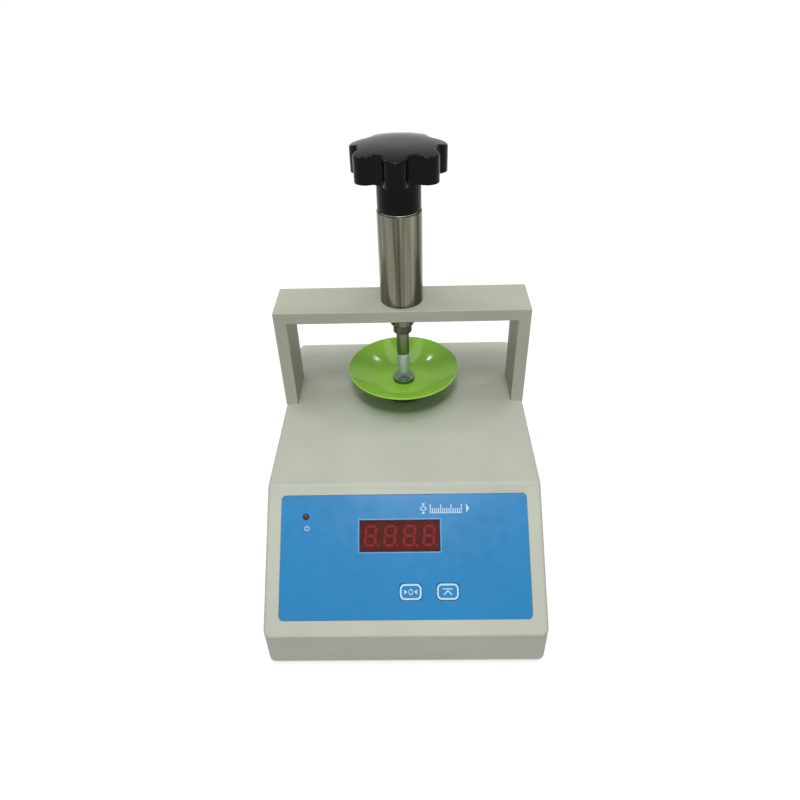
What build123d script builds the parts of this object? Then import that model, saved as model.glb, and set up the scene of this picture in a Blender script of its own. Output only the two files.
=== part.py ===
from build123d import *
from math import atan2, cos, degrees, hypot, radians, sin, tan
import os

os.makedirs("parts", exist_ok=True)

# A bench tester that crushes a tablet or granule between a hand-turned spindle and
# a small anvil, and shows the force on a four-digit display. Lengths are millimetres.
# X runs to the right of someone facing the panel, Y runs away from them and Z runs up.
# The origin lies on the bench, at the middle of the footprint.

# Case
case_width = 180.0
case_depth = 245.0
front_height = 27.0
case_height = 88.0
slope_run = 73.6
case_wall = 2.5
corner_radius = 5.0
edge_radius = 2.5
inner_edge_radius = 1.0
bend_radius = 2.5
rib_width = 2.0
rib_depth = 4.0
rib_pitch = 45.0
rib_count = 3
boss_diameter = 8.0
boss_inset = 12.0
pilot_depth = 12.0

# Feet and base plate
foot_height = 4.0
foot_diameter = 16.0
foot_base_diameter = 14.0
foot_inset_x = 20.0
foot_inset_y = 24.0
foot_recess_depth = 2.4
base_thickness = 2.0
base_gap = 0.5
vent_length = 30.0
vent_width = 3.0
vent_pitch = 7.0
vent_count = 5

# Screws: thread, head and head height of each size, and the slack in a plain hole
m3, m3_head, m3_head_height = 3.0, 5.6, 1.8
m4, m4_head, m4_head_height = 4.0, 7.4, 2.4
m5, m5_head, m5_head_height = 5.0, 8.5, 5.0
m3_nut, m3_nut_height = 5.5, 2.4
screw_slack = 0.3
screw_tip_gap = 1.0
thread_wall = 0.05
recess_slack = 0.6

# How far a cutting shape runs past a wall, and how closely places are compared
cut_margin = 1.0
tolerance = 0.01

# Portal frame
leg_thickness = 9.0
beam_thickness = 9.0
portal_depth = 37.0
portal_height = 79.4
portal_edge = 0.8
spindle_setback = 66.3
tongue_thickness = 5.0
tongue_width = 31.0
tongue_depth = 20.0
tongue_slack = 0.3
tongue_wall_gap = 1.2

# Steel bridge under the case top
bridge_thickness = 3.0
bridge_width = 34.0
bridge_foot = 15.0
bridge_bend = 2.0
leg_screw_pitch = 18.0
leg_screw_drop = 12.0
bridge_screw_pitch = 20.0

# Load cell and its post
cell_length = 80.0
cell_side = 12.7
cell_hole_diameter = 9.0
cell_hole_pitch = 16.0
cell_slit = 3.0
cell_end = 10.0
block_length = 30.0
block_height = 8.0
block_screw_pitch = 14.0
block_screw_inset = 8.0
post_diameter = 12.0
post_clearance = 2.0
post_stud_length = 10.0
stop_gap = 0.4
stop_nut_width = 8.0
stop_nut_height = 3.0
seat_clearance = 1.2
seat_diameter = 39.5
seat_height = 5.8
seat_socket = 3.0
bridge_hole_slack = 4.0

# Dish and anvil
dish_radius = 42.0
dish_height = 14.0
dish_floor_radius = 19.5
dish_floor = 2.5
dish_foot_radius = 20.5
dish_lip = 1.6
dish_bulge = 0.6
anvil_diameter = 16.5
anvil_thickness = 3.1
anvil_edge = 0.4

# Spindle sleeve, plunger and press head
sleeve_diameter = 30.0
sleeve_height = 65.6
sleeve_edge = 0.6
spigot_diameter = 14.0
spigot_reach = 17.4
spigot_edge = 1.0
ring_nut_diameter = 17.8
ring_nut_height = 5.4
lock_nut_height = 5.0
ring_nut_slots = 4
ring_nut_slot_width = 3.0
ring_nut_slot_depth = 1.2
ring_nut_edge = 0.6
chamber_diameter = 15.2
chamber_floor_height = 5.0
bush_diameter = 20.0
bush_length = 12.0
washer_thickness = 0.5
washer_diameter = 27.4
rod_diameter = 9.5
head_diameter = 9.4
head_length = 16.5
head_edge = 0.5
head_stud_diameter = 5.0
head_stud_length = 9.0
press_gap = 4.5
press_travel_down = 4.2
press_travel_up = 12.0
stop_margin = 1.0
running_gap = 0.1
assembly_gap = 0.02
keyway_width = 3.4
keyway_depth = 1.6
guide_nose_diameter = 3.0
guide_nose_gap = 0.3

# Lead screw and knob
shank_diameter = 10.0
collar_diameter = 14.0
collar_height = 3.0
lead_thread_diameter = 8.0
lead_thread_edge = 0.8
thread_engagement = 12.0
knob_gap = 0.2
hub_diameter = 29.0
hub_height = 22.7
hub_edge = 0.6
knob_radius = 31.5
lobe_count = 7
lobe_radius = 7.5
valley_radius = 25.0
valley_blend = 2.6
lobe_height = 16.0
crown_height = 3.6
crown_edge = 1.2
lobe_phase = -3.0
lobe_pocket_diameter = 9.0
lobe_pocket_depth = 9.0
insert_diameter = 16.0
insert_length = 20.0
set_screw_height = 10.0

# Panel on the slope: places are across the panel and up the slope from its front edge
film_side_gap = 9.75
film_start = 9.8
film_rear_gap = 7.3
film_corner = 3.0
film_thickness = 0.6
recess_depth = 0.9
window_width = 52.0
window_height = 19.9
window_x = -2.95
window_up = 61.85
window_slack = 0.2
filter_thickness = 2.0
filter_sink = 0.05
lamp_inset = 16.05
lamp_up = 74.6
lamp_diameter = 3.8
lamp_flange_diameter = 4.6
lamp_flange_height = 1.0
lamp_body_length = 5.4
lamp_lead_diameter = 0.6
lamp_lead_pitch = 2.0
key_width = 14.4
key_height = 10.4
key_corner = 3.2
key_up = 26.7
key_places = {"zero_key": 3.7, "hold_key": 27.3}
key_proud = 0.2
key_slack = 0.25
key_flange = 1.3
key_flange_thickness = 1.0
key_travel = 0.4
key_stem_diameter = 3.4

# Display module
module_width = 50.3
module_height = 19.0
module_depth = 8.0
module_gap = 0.3
digit_count = 4
digit_pitch = 12.7
digit_height = 13.9
digit_width = 8.2
digit_slant = 5.0
segment_width = 1.7
segment_gap = 0.3
segment_relief = 0.2
point_diameter = 1.6

# Panel board behind the slope
board_thickness = 1.6
lamp_side_margin = 6.8
lamp_top_margin = 9.4
key_side_margin = 22.7
key_front_margin = 10.7
panel_boss_diameter = 7.0
panel_boss_inset = 5.0
lamp_boss_shift = 16.0
panel_pilot_depth = 6.0
tact_side = 6.0
tact_body_height = 2.6
tact_button_height = 1.0

# Main board on the base plate
main_board_width = 56.0
main_board_length = 76.0
main_board_gap = 6.0
pillar_diameter = 6.0
pillar_height = 6.0
pillar_inset = 5.0
capacitor_diameter, capacitor_height = 10.0, 14.0
chip_length, chip_width, chip_height = 10.0, 6.5, 2.5
header_length, header_width, header_height = 14.0, 6.0, 8.0
capacitor_inset = 12.0
capacitor_places = [-18.0, -4.0]
chip_spots = [(-12.0, 2.0), (6.0, 2.0), (6.0, -14.0)]
header_inset_x, header_inset_y = 8.0, 18.0

# Transformer
core_width = 44.0
core_height = 37.0
core_stack = 20.0
core_limb = 7.5
core_window_height = 22.0
coil_overhang = 6.0
coil_edge = 2.0
coil_gap = 0.1
transformer_inset = 41.5
transformer_setback = 47.7
strap_thickness = 1.2
strap_foot = 9.0

# Rear wall: mains inlet, switch and fuse
inlet_inset = 42.0
rear_fitting_height = 34.0
inlet_flange_width = 50.0
inlet_flange_height = 22.5
inlet_flange_thickness = 3.0
inlet_body_width = 27.4
inlet_body_height = 20.0
inlet_body_depth = 19.0
socket_width = 24.6
socket_height = 16.6
socket_depth = 15.0
socket_corner = 4.0
inlet_screw_pitch = 40.0
pin_width = 2.0
pin_height = 4.0
pin_reach = 13.0
pin_tail = 8.0
pin_pitch = 14.0
pin_drop = 2.0
earth_pin_rise = 2.0
cutout_slack = 0.2
switch_gap = 7.25
switch_flange_width = 15.5
switch_flange_height = 21.5
switch_flange_thickness = 2.0
switch_body_width = 12.8
switch_body_height = 19.2
switch_body_depth = 17.0
rocker_width = 10.6
rocker_pocket_height = 17.9
rocker_pocket_depth = 9.0
rocker_side_gap = 0.3
rocker_half = 8.0
rocker_tip = 3.6
rocker_dip = 2.0
rocker_belly = 5.0
rocker_shoulder = 0.5
rocker_tilt = 10.0
rocker_hinge_height = 0.5
rocker_hinge_diameter = 3.0
rocker_pin_slack = 0.1
fuse_gap = 12.75
fuse_flange_diameter = 15.0
fuse_flange_thickness = 2.0
fuse_body_diameter = 12.0
fuse_body_length = 26.0
fuse_bore_diameter = 8.4
fuse_cap_diameter = 11.6
fuse_cap_length = 5.0
fuse_cap_slot_width = 1.6
fuse_cap_slot_depth = 1.4
fuse_diameter = 5.2
fuse_length = 20.0
fuse_cap_stem = 7.6
fuse_stem_length = 4.0

# Heights above the bench
case_base_z = foot_height
slope_foot_z = case_base_z + front_height
top_z = case_base_z + case_height
base_top_z = case_base_z + base_thickness
ceiling_z = top_z - case_wall
beam_top_z = top_z + portal_height
beam_bottom_z = beam_top_z - beam_thickness
sleeve_top_z = beam_top_z + sleeve_height
rear_fitting_z = case_base_z + rear_fitting_height

# Places along the instrument
rear_reach = fuse_flange_thickness + fuse_cap_length
front_y = -(case_depth + rear_reach) / 2
rear_y = front_y + case_depth
bend_y = front_y + slope_run
spindle_y = rear_y - spindle_setback
inlet_x = case_width / 2 - inlet_inset
switch_x = inlet_x - (inlet_flange_width + switch_flange_width) / 2 - switch_gap
fuse_x = switch_x - (switch_flange_width + fuse_flange_diameter) / 2 - fuse_gap
slope_length = hypot(slope_run, case_height - front_height)
slope_angle = degrees(atan2(case_height - front_height, slope_run))
slope_rise = sin(radians(slope_angle))
slope_level = cos(radians(slope_angle))

# Planes and axes that several pieces share
slope_plane = Plane(
    origin=(0, front_y, slope_foot_z), x_dir=(1, 0, 0), z_dir=(0, -slope_rise, slope_level)
)
rear_plane = Plane(origin=(0, rear_y, rear_fitting_z), x_dir=(-1, 0, 0), z_dir=(0, 1, 0))
slope_axis = Axis(slope_plane.origin, slope_plane.z_dir)
spindle_face = Plane.XZ.offset(-spindle_y)
spindle_axis = Axis((0, spindle_y, 0), (0, 0, 1))


def level(height, x=0.0, y=0.0):
    # A horizontal plane that faces up.
    return Plane(origin=(x, y, height))


def rear_at(x, depth=0.0):
    # A plane on the rear wall that faces away from the case, at a fitting's centre.
    return Plane(origin=(x, rear_y + depth, rear_fitting_z), x_dir=(-1, 0, 0), z_dir=(0, 1, 0))


def turned(outline):
    # A solid of revolution about the spindle, from points of radius and height.
    with BuildPart() as piece:
        with BuildSketch(spindle_face):
            with BuildLine():
                Polyline(*outline, close=True)
            make_face()
        revolve(axis=spindle_axis)
    return piece


def screws(seat, spots, thread, reach, head, head_height, side=1):
    # Screws whose heads stand on one side of the seat and whose shanks go the other way.
    with BuildPart() as group:
        with BuildSketch(seat):
            with Locations(*spots):
                Circle(head / 2)
        extrude(amount=side * head_height)
        with BuildSketch(seat):
            with Locations(*spots):
                Circle(thread / 2 - thread_wall)
        extrude(amount=-side * reach)
    return group


def four_spots(half_x, half_y, centre_y):
    # The corners of a rectangle about the line x = 0.
    return [(x, centre_y + y) for x in (-half_x, half_x) for y in (-half_y, half_y)]


def wedge(inset, corner, edge, drop):
    # The case's outer form, or its hollow when it is inset by the wall.
    with BuildPart() as block:
        with BuildSketch(Plane.YZ) as side:
            with BuildLine():
                Polyline(
                    (front_y, case_base_z - drop),
                    (front_y, slope_foot_z),
                    (bend_y, top_z),
                    (rear_y, top_z),
                    (rear_y, case_base_z - drop),
                    close=True,
                )
            make_face()
            if inset:
                offset(amount=-inset, kind=Kind.INTERSECTION)
            bend = side.vertices().group_by(Axis.Y)[-1].sort_by(Axis.X)[0]
            fillet(bend, bend_radius)
        extrude(amount=case_width / 2 - inset, both=True)
        fillet(block.edges().filter_by(Axis.Z), corner)
        upper = block.faces().filter_by(lambda face: face.normal_at().Z > tolerance)
        rim = upper.edges().filter_by(
            lambda line: abs(line.center().X) > corner
            or not front_y + corner_radius < line.center().Y < rear_y - corner_radius
        )
        fillet(rim, edge)
    return block.part


# Case: one moulded shell, open below, with bosses and ribs left standing in its hollow
base_boss_x = case_width / 2 - boss_inset
base_boss_y = case_depth / 2 - boss_inset
case_middle_y = front_y + case_depth / 2
base_boss_spots = four_spots(base_boss_x, base_boss_y, case_middle_y)
tongue_x = case_width / 2 - case_wall - tongue_wall_gap - tongue_thickness / 2
film_width = case_width - 2 * film_side_gap
film_height = slope_length - film_start - film_rear_gap
film_up = film_start + film_height / 2
lamp_x = lamp_inset - film_width / 2
module_front_depth = case_wall + module_gap
board_depth = module_front_depth + module_depth
rib_front_y = bend_y + bend_radius
rib_rear_y = spindle_y - portal_depth / 2

# The panel board reaches past the lamp on one side and the keys on the other; the boss
# beside the lamp stands aside for it
panel_board_left = lamp_x - lamp_side_margin
panel_board_right = max(key_places.values()) + key_side_margin
panel_board_front = key_up - key_front_margin
panel_board_back = lamp_up + lamp_top_margin
panel_boss_places = [
    (panel_board_left + panel_boss_inset, panel_board_front + panel_boss_inset),
    (panel_board_right - panel_boss_inset, panel_board_front + panel_boss_inset),
    (panel_board_left + panel_boss_inset + lamp_boss_shift, panel_board_back - panel_boss_inset),
    (panel_board_right - panel_boss_inset, panel_board_back - panel_boss_inset),
]

with BuildPart() as hollow:
    add(wedge(case_wall, corner_radius - case_wall, inner_edge_radius, case_wall + foot_height))
    with BuildSketch(level(base_top_z)):
        with Locations(*base_boss_spots):
            Circle(boss_diameter / 2)
    extrude(amount=case_height, mode=Mode.SUBTRACT)
    with BuildSketch(slope_plane.offset(-board_depth)):
        with Locations(*panel_boss_places):
            Circle(panel_boss_diameter / 2)
    extrude(amount=board_depth, mode=Mode.SUBTRACT)
    with BuildSketch(level(ceiling_z - rib_depth, y=(rib_front_y + rib_rear_y) / 2)):
        with GridLocations(rib_pitch, 0, rib_count, 1):
            Rectangle(rib_width, rib_rear_y - rib_front_y)
    extrude(amount=case_wall + rib_depth, mode=Mode.SUBTRACT)

with BuildPart() as upper_case:
    add(wedge(0, corner_radius, edge_radius, 0))
    add(hollow.part, mode=Mode.SUBTRACT)
    # Shallow recess that takes the panel film
    with BuildSketch(slope_plane.offset(-recess_depth)):
        with Locations((0, film_up)):
            RectangleRounded(
                film_width + 2 * window_slack, film_height + 2 * window_slack, film_corner
            )
    extrude(amount=case_wall, mode=Mode.SUBTRACT)
    # Display window, lamp hole and key windows through the slope
    with BuildSketch(slope_plane.offset(-case_wall - cut_margin)):
        with Locations((window_x, window_up)):
            Rectangle(window_width + 2 * window_slack, window_height + 2 * window_slack)
        with Locations((lamp_x, lamp_up)):
            Circle(lamp_diameter / 2 + window_slack)
        with Locations(*[(x, key_up) for x in key_places.values()]):
            RectangleRounded(key_width + 2 * key_slack, key_height + 2 * key_slack, key_corner)
    extrude(amount=case_wall + cut_margin, mode=Mode.SUBTRACT)
    # Slots for the portal's tongues and the hole for the dish post
    with BuildSketch(level(ceiling_z)):
        with Locations((-tongue_x, spindle_y), (tongue_x, spindle_y)):
            Rectangle(tongue_thickness + 2 * tongue_slack, tongue_width + 2 * tongue_slack)
        with Locations((0, spindle_y)):
            Circle(post_diameter / 2 + post_clearance)
    extrude(amount=case_wall, mode=Mode.SUBTRACT)
    # Pilot holes of the base screws and the panel board's screws
    with BuildSketch(level(base_top_z)):
        with Locations(*base_boss_spots):
            Circle(m3 / 2)
    extrude(amount=pilot_depth, mode=Mode.SUBTRACT)
    with BuildSketch(slope_plane.offset(-board_depth)):
        with Locations(*panel_boss_places):
            Circle(m3 / 2)
    extrude(amount=panel_pilot_depth, mode=Mode.SUBTRACT)
    # Cut-outs in the rear wall
    with BuildSketch(rear_plane.offset(-case_wall)):
        with Locations((-inlet_x, 0)):
            Rectangle(inlet_body_width + 2 * cutout_slack, inlet_body_height + 2 * cutout_slack)
            with GridLocations(inlet_screw_pitch, 0, 2, 1):
                Circle((m3 + screw_slack) / 2)
        with Locations((-switch_x, 0)):
            Rectangle(switch_body_width + 2 * cutout_slack, switch_body_height + 2 * cutout_slack)
        with Locations((-fuse_x, 0)):
            Circle(fuse_body_diameter / 2 + cutout_slack)
    extrude(amount=case_wall, mode=Mode.SUBTRACT)

upper_case.part.label = "upper_case"
export_step(upper_case.part, "parts/upper_case.step")

# Base plate: closes the case from below and carries everything inside it
foot_spots = four_spots(
    case_width / 2 - foot_inset_x, case_depth / 2 - foot_inset_y, case_middle_y
)
bridge_outer_x = tongue_x - tongue_thickness / 2
bridge_foot_x = bridge_outer_x - bridge_thickness - bridge_foot / 2
bridge_screw_spots = four_spots(bridge_foot_x, bridge_screw_pitch / 2, spindle_y)
cell_rear_y = spindle_y + cell_end
cell_front_y = cell_rear_y - cell_length
block_screw_y = cell_front_y + block_screw_inset
block_screw_spots = [(0, block_screw_y), (0, block_screw_y + block_screw_pitch)]
main_board_x = (cell_side + main_board_width) / 2 + main_board_gap
main_board_y = spindle_y - (bridge_width + main_board_length) / 2 - main_board_gap
pillar_spots = [
    (main_board_x + x, main_board_y + y)
    for x in (pillar_inset - main_board_width / 2, main_board_width / 2 - pillar_inset)
    for y in (pillar_inset - main_board_length / 2, main_board_length / 2 - pillar_inset)
]
transformer_x = case_wall + transformer_inset - case_width / 2
transformer_y = spindle_y - transformer_setback
strap_screw_y = core_width / 2 + strap_thickness + strap_foot / 2
strap_spots = [(transformer_x, transformer_y + y) for y in (-strap_screw_y, strap_screw_y)]
hole_groups = [
    (base_boss_spots, m3),
    (foot_spots, m3),
    (bridge_screw_spots, m4),
    (block_screw_spots, m4),
    (pillar_spots, m3),
    (strap_spots, m3),
]
plate_corner = corner_radius - case_wall - base_gap

with BuildPart() as base_plate:
    with BuildSketch(level(case_base_z, y=case_middle_y)):
        RectangleRounded(
            case_width - 2 * (case_wall + base_gap),
            case_depth - 2 * (case_wall + base_gap),
            plate_corner,
        )
    extrude(amount=base_thickness)
    with BuildSketch(level(case_base_z)):
        for spots, thread in hole_groups:
            with Locations(*spots):
                Circle((thread + screw_slack) / 2)
        with Locations((0, spindle_y)):
            Circle(m5 / 2)
    extrude(amount=base_thickness, mode=Mode.SUBTRACT)
    # Vent slots below the main board
    with BuildSketch(level(case_base_z, x=main_board_x, y=main_board_y)):
        with GridLocations(0, vent_pitch, 1, vent_count):
            SlotOverall(vent_length, vent_width)
    extrude(amount=base_thickness, mode=Mode.SUBTRACT)

base_plate.part.label = "base_plate"
export_step(base_plate.part, "parts/base_plate.step")

base_screws = screws(
    level(case_base_z), base_boss_spots, m3, base_thickness + pilot_depth - screw_tip_gap,
    m3_head, m3_head_height, side=-1,
)
base_screws.part.label = "base_screws"
export_step(base_screws.part, "parts/base_screws.step")

# Rubber feet: tapered pucks with a recess for the screw's head
with BuildPart() as rubber_feet:
    with BuildSketch(level(0)):
        with Locations(*foot_spots):
            Circle(foot_base_diameter / 2)
    taper = degrees(atan2(foot_base_diameter - foot_diameter, 2 * foot_height))
    extrude(amount=foot_height, taper=taper)
    with BuildSketch(level(0)):
        with Locations(*foot_spots):
            Circle(m3_head / 2 + recess_slack)
    extrude(amount=foot_recess_depth, mode=Mode.SUBTRACT)
    with BuildSketch(level(0)):
        with Locations(*foot_spots):
            Circle((m3 + screw_slack) / 2)
    extrude(amount=foot_height, mode=Mode.SUBTRACT)

rubber_feet.part.label = "rubber_feet"
export_step(rubber_feet.part, "parts/rubber_feet.step")

foot_screw_reach = foot_height - foot_recess_depth + base_thickness + m3_nut_height
foot_screws = screws(
    level(foot_recess_depth), foot_spots, m3, foot_screw_reach, m3_head, m3_head_height, side=-1
)
foot_screws.part.label = "foot_screws"
export_step(foot_screws.part, "parts/foot_screws.step")

with BuildPart() as foot_nuts:
    with BuildSketch(level(base_top_z)):
        with Locations(*foot_spots):
            RegularPolygon(m3_nut / 2, 6, major_radius=False)
            Circle(m3 / 2, mode=Mode.SUBTRACT)
    extrude(amount=m3_nut_height)

foot_nuts.part.label = "foot_nuts"
export_step(foot_nuts.part, "parts/foot_nuts.step")

# Portal frame: two flat legs and a beam in one casting, with tongues through the case top
leg_screw_z = top_z - leg_screw_drop
leg_screw_spots = [(spindle_y + y, leg_screw_z) for y in (-leg_screw_pitch / 2, leg_screw_pitch / 2)]

with BuildPart() as gantry_frame:
    with BuildSketch(spindle_face):
        with Locations((0, (top_z + beam_top_z) / 2)):
            Rectangle(case_width, portal_height)
        with Locations((0, (top_z + beam_bottom_z) / 2)):
            Rectangle(
                case_width - 2 * leg_thickness, portal_height - beam_thickness, mode=Mode.SUBTRACT
            )
    extrude(amount=portal_depth / 2, both=True)
    fillet(
        gantry_frame.edges().filter_by(Axis.Y).group_by(Axis.Z)[-1]
        + gantry_frame.faces().sort_by(Axis.Y)[0].edges().filter_by_position(
            Axis.Z, top_z + portal_edge, beam_top_z + portal_edge
        )
        + gantry_frame.faces().sort_by(Axis.Y)[-1].edges().filter_by_position(
            Axis.Z, top_z + portal_edge, beam_top_z + portal_edge
        ),
        portal_edge,
    )
    with BuildSketch(level(top_z)):
        with Locations((-tongue_x, spindle_y), (tongue_x, spindle_y)):
            Rectangle(tongue_thickness, tongue_width)
    extrude(amount=-tongue_depth)
    with BuildSketch(level(beam_bottom_z)):
        with Locations((0, spindle_y)):
            Circle(spigot_diameter / 2 + assembly_gap)
    extrude(amount=beam_thickness, mode=Mode.SUBTRACT)
    with BuildSketch(Plane.YZ):
        with Locations(*leg_screw_spots):
            Circle(m5 / 2)
    extrude(amount=case_width / 2, both=True, mode=Mode.SUBTRACT)

gantry_frame.part.label = "gantry_frame"
export_step(gantry_frame.part, "parts/gantry_frame.step")

# Steel bridge: a bent strap under the case top that takes the portal's pull to the base
bridge_inner_x = bridge_outer_x - bridge_thickness
bridge_line = [
    (-bridge_inner_x + bridge_foot, base_top_z),
    (-bridge_outer_x, base_top_z),
    (-bridge_outer_x, ceiling_z),
    (bridge_outer_x, ceiling_z),
    (bridge_outer_x, base_top_z),
    (bridge_inner_x - bridge_foot, base_top_z),
    (bridge_inner_x - bridge_foot, base_top_z + bridge_thickness),
    (bridge_inner_x, base_top_z + bridge_thickness),
    (bridge_inner_x, ceiling_z - bridge_thickness),
    (-bridge_inner_x, ceiling_z - bridge_thickness),
    (-bridge_inner_x, base_top_z + bridge_thickness),
    (-bridge_inner_x + bridge_foot, base_top_z + bridge_thickness),
]

with BuildPart() as force_bridge:
    with BuildSketch(spindle_face):
        with BuildLine():
            Polyline(*bridge_line, close=True)
        make_face()
    extrude(amount=bridge_width / 2, both=True)
    bends = force_bridge.edges().filter_by(Axis.Y).filter_by(
        lambda line: abs(abs(line.center().X) - bridge_outer_x) < tolerance
    )
    fillet(bends, bridge_bend)
    with BuildSketch(level(ceiling_z - bridge_thickness)):
        with Locations((0, spindle_y)):
            Circle(post_diameter / 2 + bridge_hole_slack)
    extrude(amount=bridge_thickness, mode=Mode.SUBTRACT)
    with BuildSketch(level(base_top_z)):
        with Locations(*bridge_screw_spots):
            Circle(m4 / 2)
    extrude(amount=bridge_thickness, mode=Mode.SUBTRACT)
    with BuildSketch(Plane.YZ):
        with Locations(*leg_screw_spots):
            Circle((m5 + screw_slack) / 2)
    extrude(amount=case_width / 2, both=True, mode=Mode.SUBTRACT)

force_bridge.part.label = "force_bridge"
export_step(force_bridge.part, "parts/force_bridge.step")

with BuildPart() as leg_screws:
    add(
        screws(
            Plane.YZ.offset(bridge_inner_x), leg_screw_spots, m5,
            bridge_thickness + tongue_thickness, m5_head, m5_head_height, side=-1,
        ).part
    )
    mirror(about=Plane.YZ)

leg_screws.part.label = "leg_screws"
export_step(leg_screws.part, "parts/leg_screws.step")

bridge_screws = screws(
    level(case_base_z), bridge_screw_spots, m4, base_thickness + bridge_thickness, m4_head,
    m4_head_height, side=-1,
)
bridge_screws.part.label = "bridge_screws"
export_step(bridge_screws.part, "parts/bridge_screws.step")

# Load cell: a bar that bends where two bores thin it, on a block at its front end
cell_bottom_z = base_top_z + block_height
cell_top_z = cell_bottom_z + cell_side
cell_middle_y = (cell_front_y + cell_rear_y) / 2

with BuildPart() as load_cell_block:
    with BuildSketch(level(base_top_z, y=cell_front_y + block_length / 2)):
        Rectangle(cell_side, block_length)
    extrude(amount=block_height)
    chamfer(load_cell_block.edges().filter_by(Axis.Z), inner_edge_radius)
    with BuildSketch(level(base_top_z)):
        with Locations(*block_screw_spots):
            Circle((m4 + screw_slack) / 2)
    extrude(amount=block_height, mode=Mode.SUBTRACT)

load_cell_block.part.label = "load_cell_block"
export_step(load_cell_block.part, "parts/load_cell_block.step")

with BuildPart() as load_cell:
    with BuildSketch(level(cell_bottom_z, y=cell_middle_y)):
        Rectangle(cell_side, cell_length)
    extrude(amount=cell_side)
    with BuildSketch(Plane(origin=(0, cell_middle_y, cell_bottom_z + cell_side / 2),
                           x_dir=(0, 1, 0), z_dir=(1, 0, 0))):
        with GridLocations(cell_hole_pitch, 0, 2, 1):
            Circle(cell_hole_diameter / 2)
        Rectangle(cell_hole_pitch, cell_slit)
    extrude(amount=cell_side, both=True, mode=Mode.SUBTRACT)
    with BuildSketch(level(cell_bottom_z)):
        with Locations(*block_screw_spots):
            Circle(m4 / 2)
    extrude(amount=post_stud_length, mode=Mode.SUBTRACT)
    with BuildSketch(level(cell_top_z)):
        with Locations((0, spindle_y)):
            Circle(m5 / 2)
    extrude(amount=-post_stud_length, mode=Mode.SUBTRACT)

load_cell.part.label = "load_cell"
export_step(load_cell.part, "parts/load_cell.step")

block_screw_reach = base_thickness + block_height + post_stud_length - screw_tip_gap
load_cell_screws = screws(
    level(case_base_z), block_screw_spots, m4, block_screw_reach, m4_head, m4_head_height, side=-1
)
load_cell_screws.part.label = "load_cell_screws"
export_step(load_cell_screws.part, "parts/load_cell_screws.step")

# Overload stop: a screw under the free end, just short of the bar, held by its nut
with BuildPart() as overload_stop:
    with BuildSketch(level(case_base_z, y=spindle_y)):
        Circle(m5 / 2 - thread_wall)
    extrude(amount=cell_bottom_z - stop_gap - case_base_z)
    with BuildSketch(level(base_top_z, y=spindle_y)):
        RegularPolygon(stop_nut_width / 2, 6, major_radius=False)
    extrude(amount=stop_nut_height)

overload_stop.part.label = "overload_stop"
export_step(overload_stop.part, "parts/overload_stop.step")

# Dish post, its black seat, the dish and the anvil that clamps the dish down
seat_bottom_z = top_z + seat_clearance
seat_top_z = seat_bottom_z + seat_height
post_top_z = seat_bottom_z + seat_socket
dish_floor_z = seat_top_z + dish_floor
anvil_top_z = dish_floor_z + anvil_thickness
post_radius = post_diameter / 2
anvil_stem_radius = m5 / 2
anvil_stem_z = post_top_z - post_stud_length

post_foot_z = cell_top_z - post_stud_length + screw_tip_gap
dish_post = turned([
    (0, post_foot_z),
    (anvil_stem_radius - thread_wall, post_foot_z),
    (anvil_stem_radius - thread_wall, cell_top_z),
    (post_radius, cell_top_z),
    (post_radius, post_top_z),
    (anvil_stem_radius, post_top_z),
    (anvil_stem_radius, anvil_stem_z),
    (0, anvil_stem_z),
])
dish_post.part.label = "dish_post"
export_step(dish_post.part, "parts/dish_post.step")

seat_radius = seat_diameter / 2
dish_seat = turned([
    (post_radius + assembly_gap, seat_bottom_z),
    (seat_radius - sleeve_edge, seat_bottom_z),
    (seat_radius, seat_bottom_z + sleeve_edge),
    (seat_radius, seat_top_z),
    (anvil_stem_radius + screw_slack, seat_top_z),
    (anvil_stem_radius + screw_slack, post_top_z),
    (post_radius + assembly_gap, post_top_z),
])
dish_seat.part.label = "dish_seat"
export_step(dish_seat.part, "parts/dish_seat.step")

dish_rim_z = seat_top_z + dish_height
hole_radius = anvil_stem_radius + screw_slack
with BuildPart() as sample_dish:
    with BuildSketch(spindle_face):
        with BuildLine():
            Line((hole_radius, seat_top_z), (dish_foot_radius, seat_top_z))
            outside = SagittaArc(
                (dish_foot_radius, seat_top_z),
                (dish_radius - dish_lip / 4, dish_rim_z - dish_lip / 2),
                -dish_bulge,
            )
            rim_way = outside % 1
            inward = Vector(-rim_way.Y, rim_way.X) * dish_lip
            lip_end = outside @ 1 + inward
            ThreePointArc(outside @ 1, outside @ 1 + inward / 2 + rim_way * dish_lip / 2, lip_end)
            TangentArc(lip_end, (dish_floor_radius, dish_floor_z), tangent=-rim_way)
            Line((dish_floor_radius, dish_floor_z), (hole_radius, dish_floor_z))
            Line((hole_radius, dish_floor_z), (hole_radius, seat_top_z))
        make_face()
    revolve(axis=spindle_axis)

sample_dish.part.label = "sample_dish"
export_step(sample_dish.part, "parts/sample_dish.step")

anvil_radius = anvil_diameter / 2
anvil_foot_z = anvil_stem_z + screw_tip_gap
anvil = turned([
    (0, anvil_foot_z),
    (anvil_stem_radius - thread_wall, anvil_foot_z),
    (anvil_stem_radius - thread_wall, dish_floor_z),
    (anvil_radius, dish_floor_z),
    (anvil_radius, anvil_top_z - anvil_edge),
    (anvil_radius - anvil_edge, anvil_top_z),
    (0, anvil_top_z),
])
anvil.part.label = "anvil"
export_step(anvil.part, "parts/anvil.step")

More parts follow.
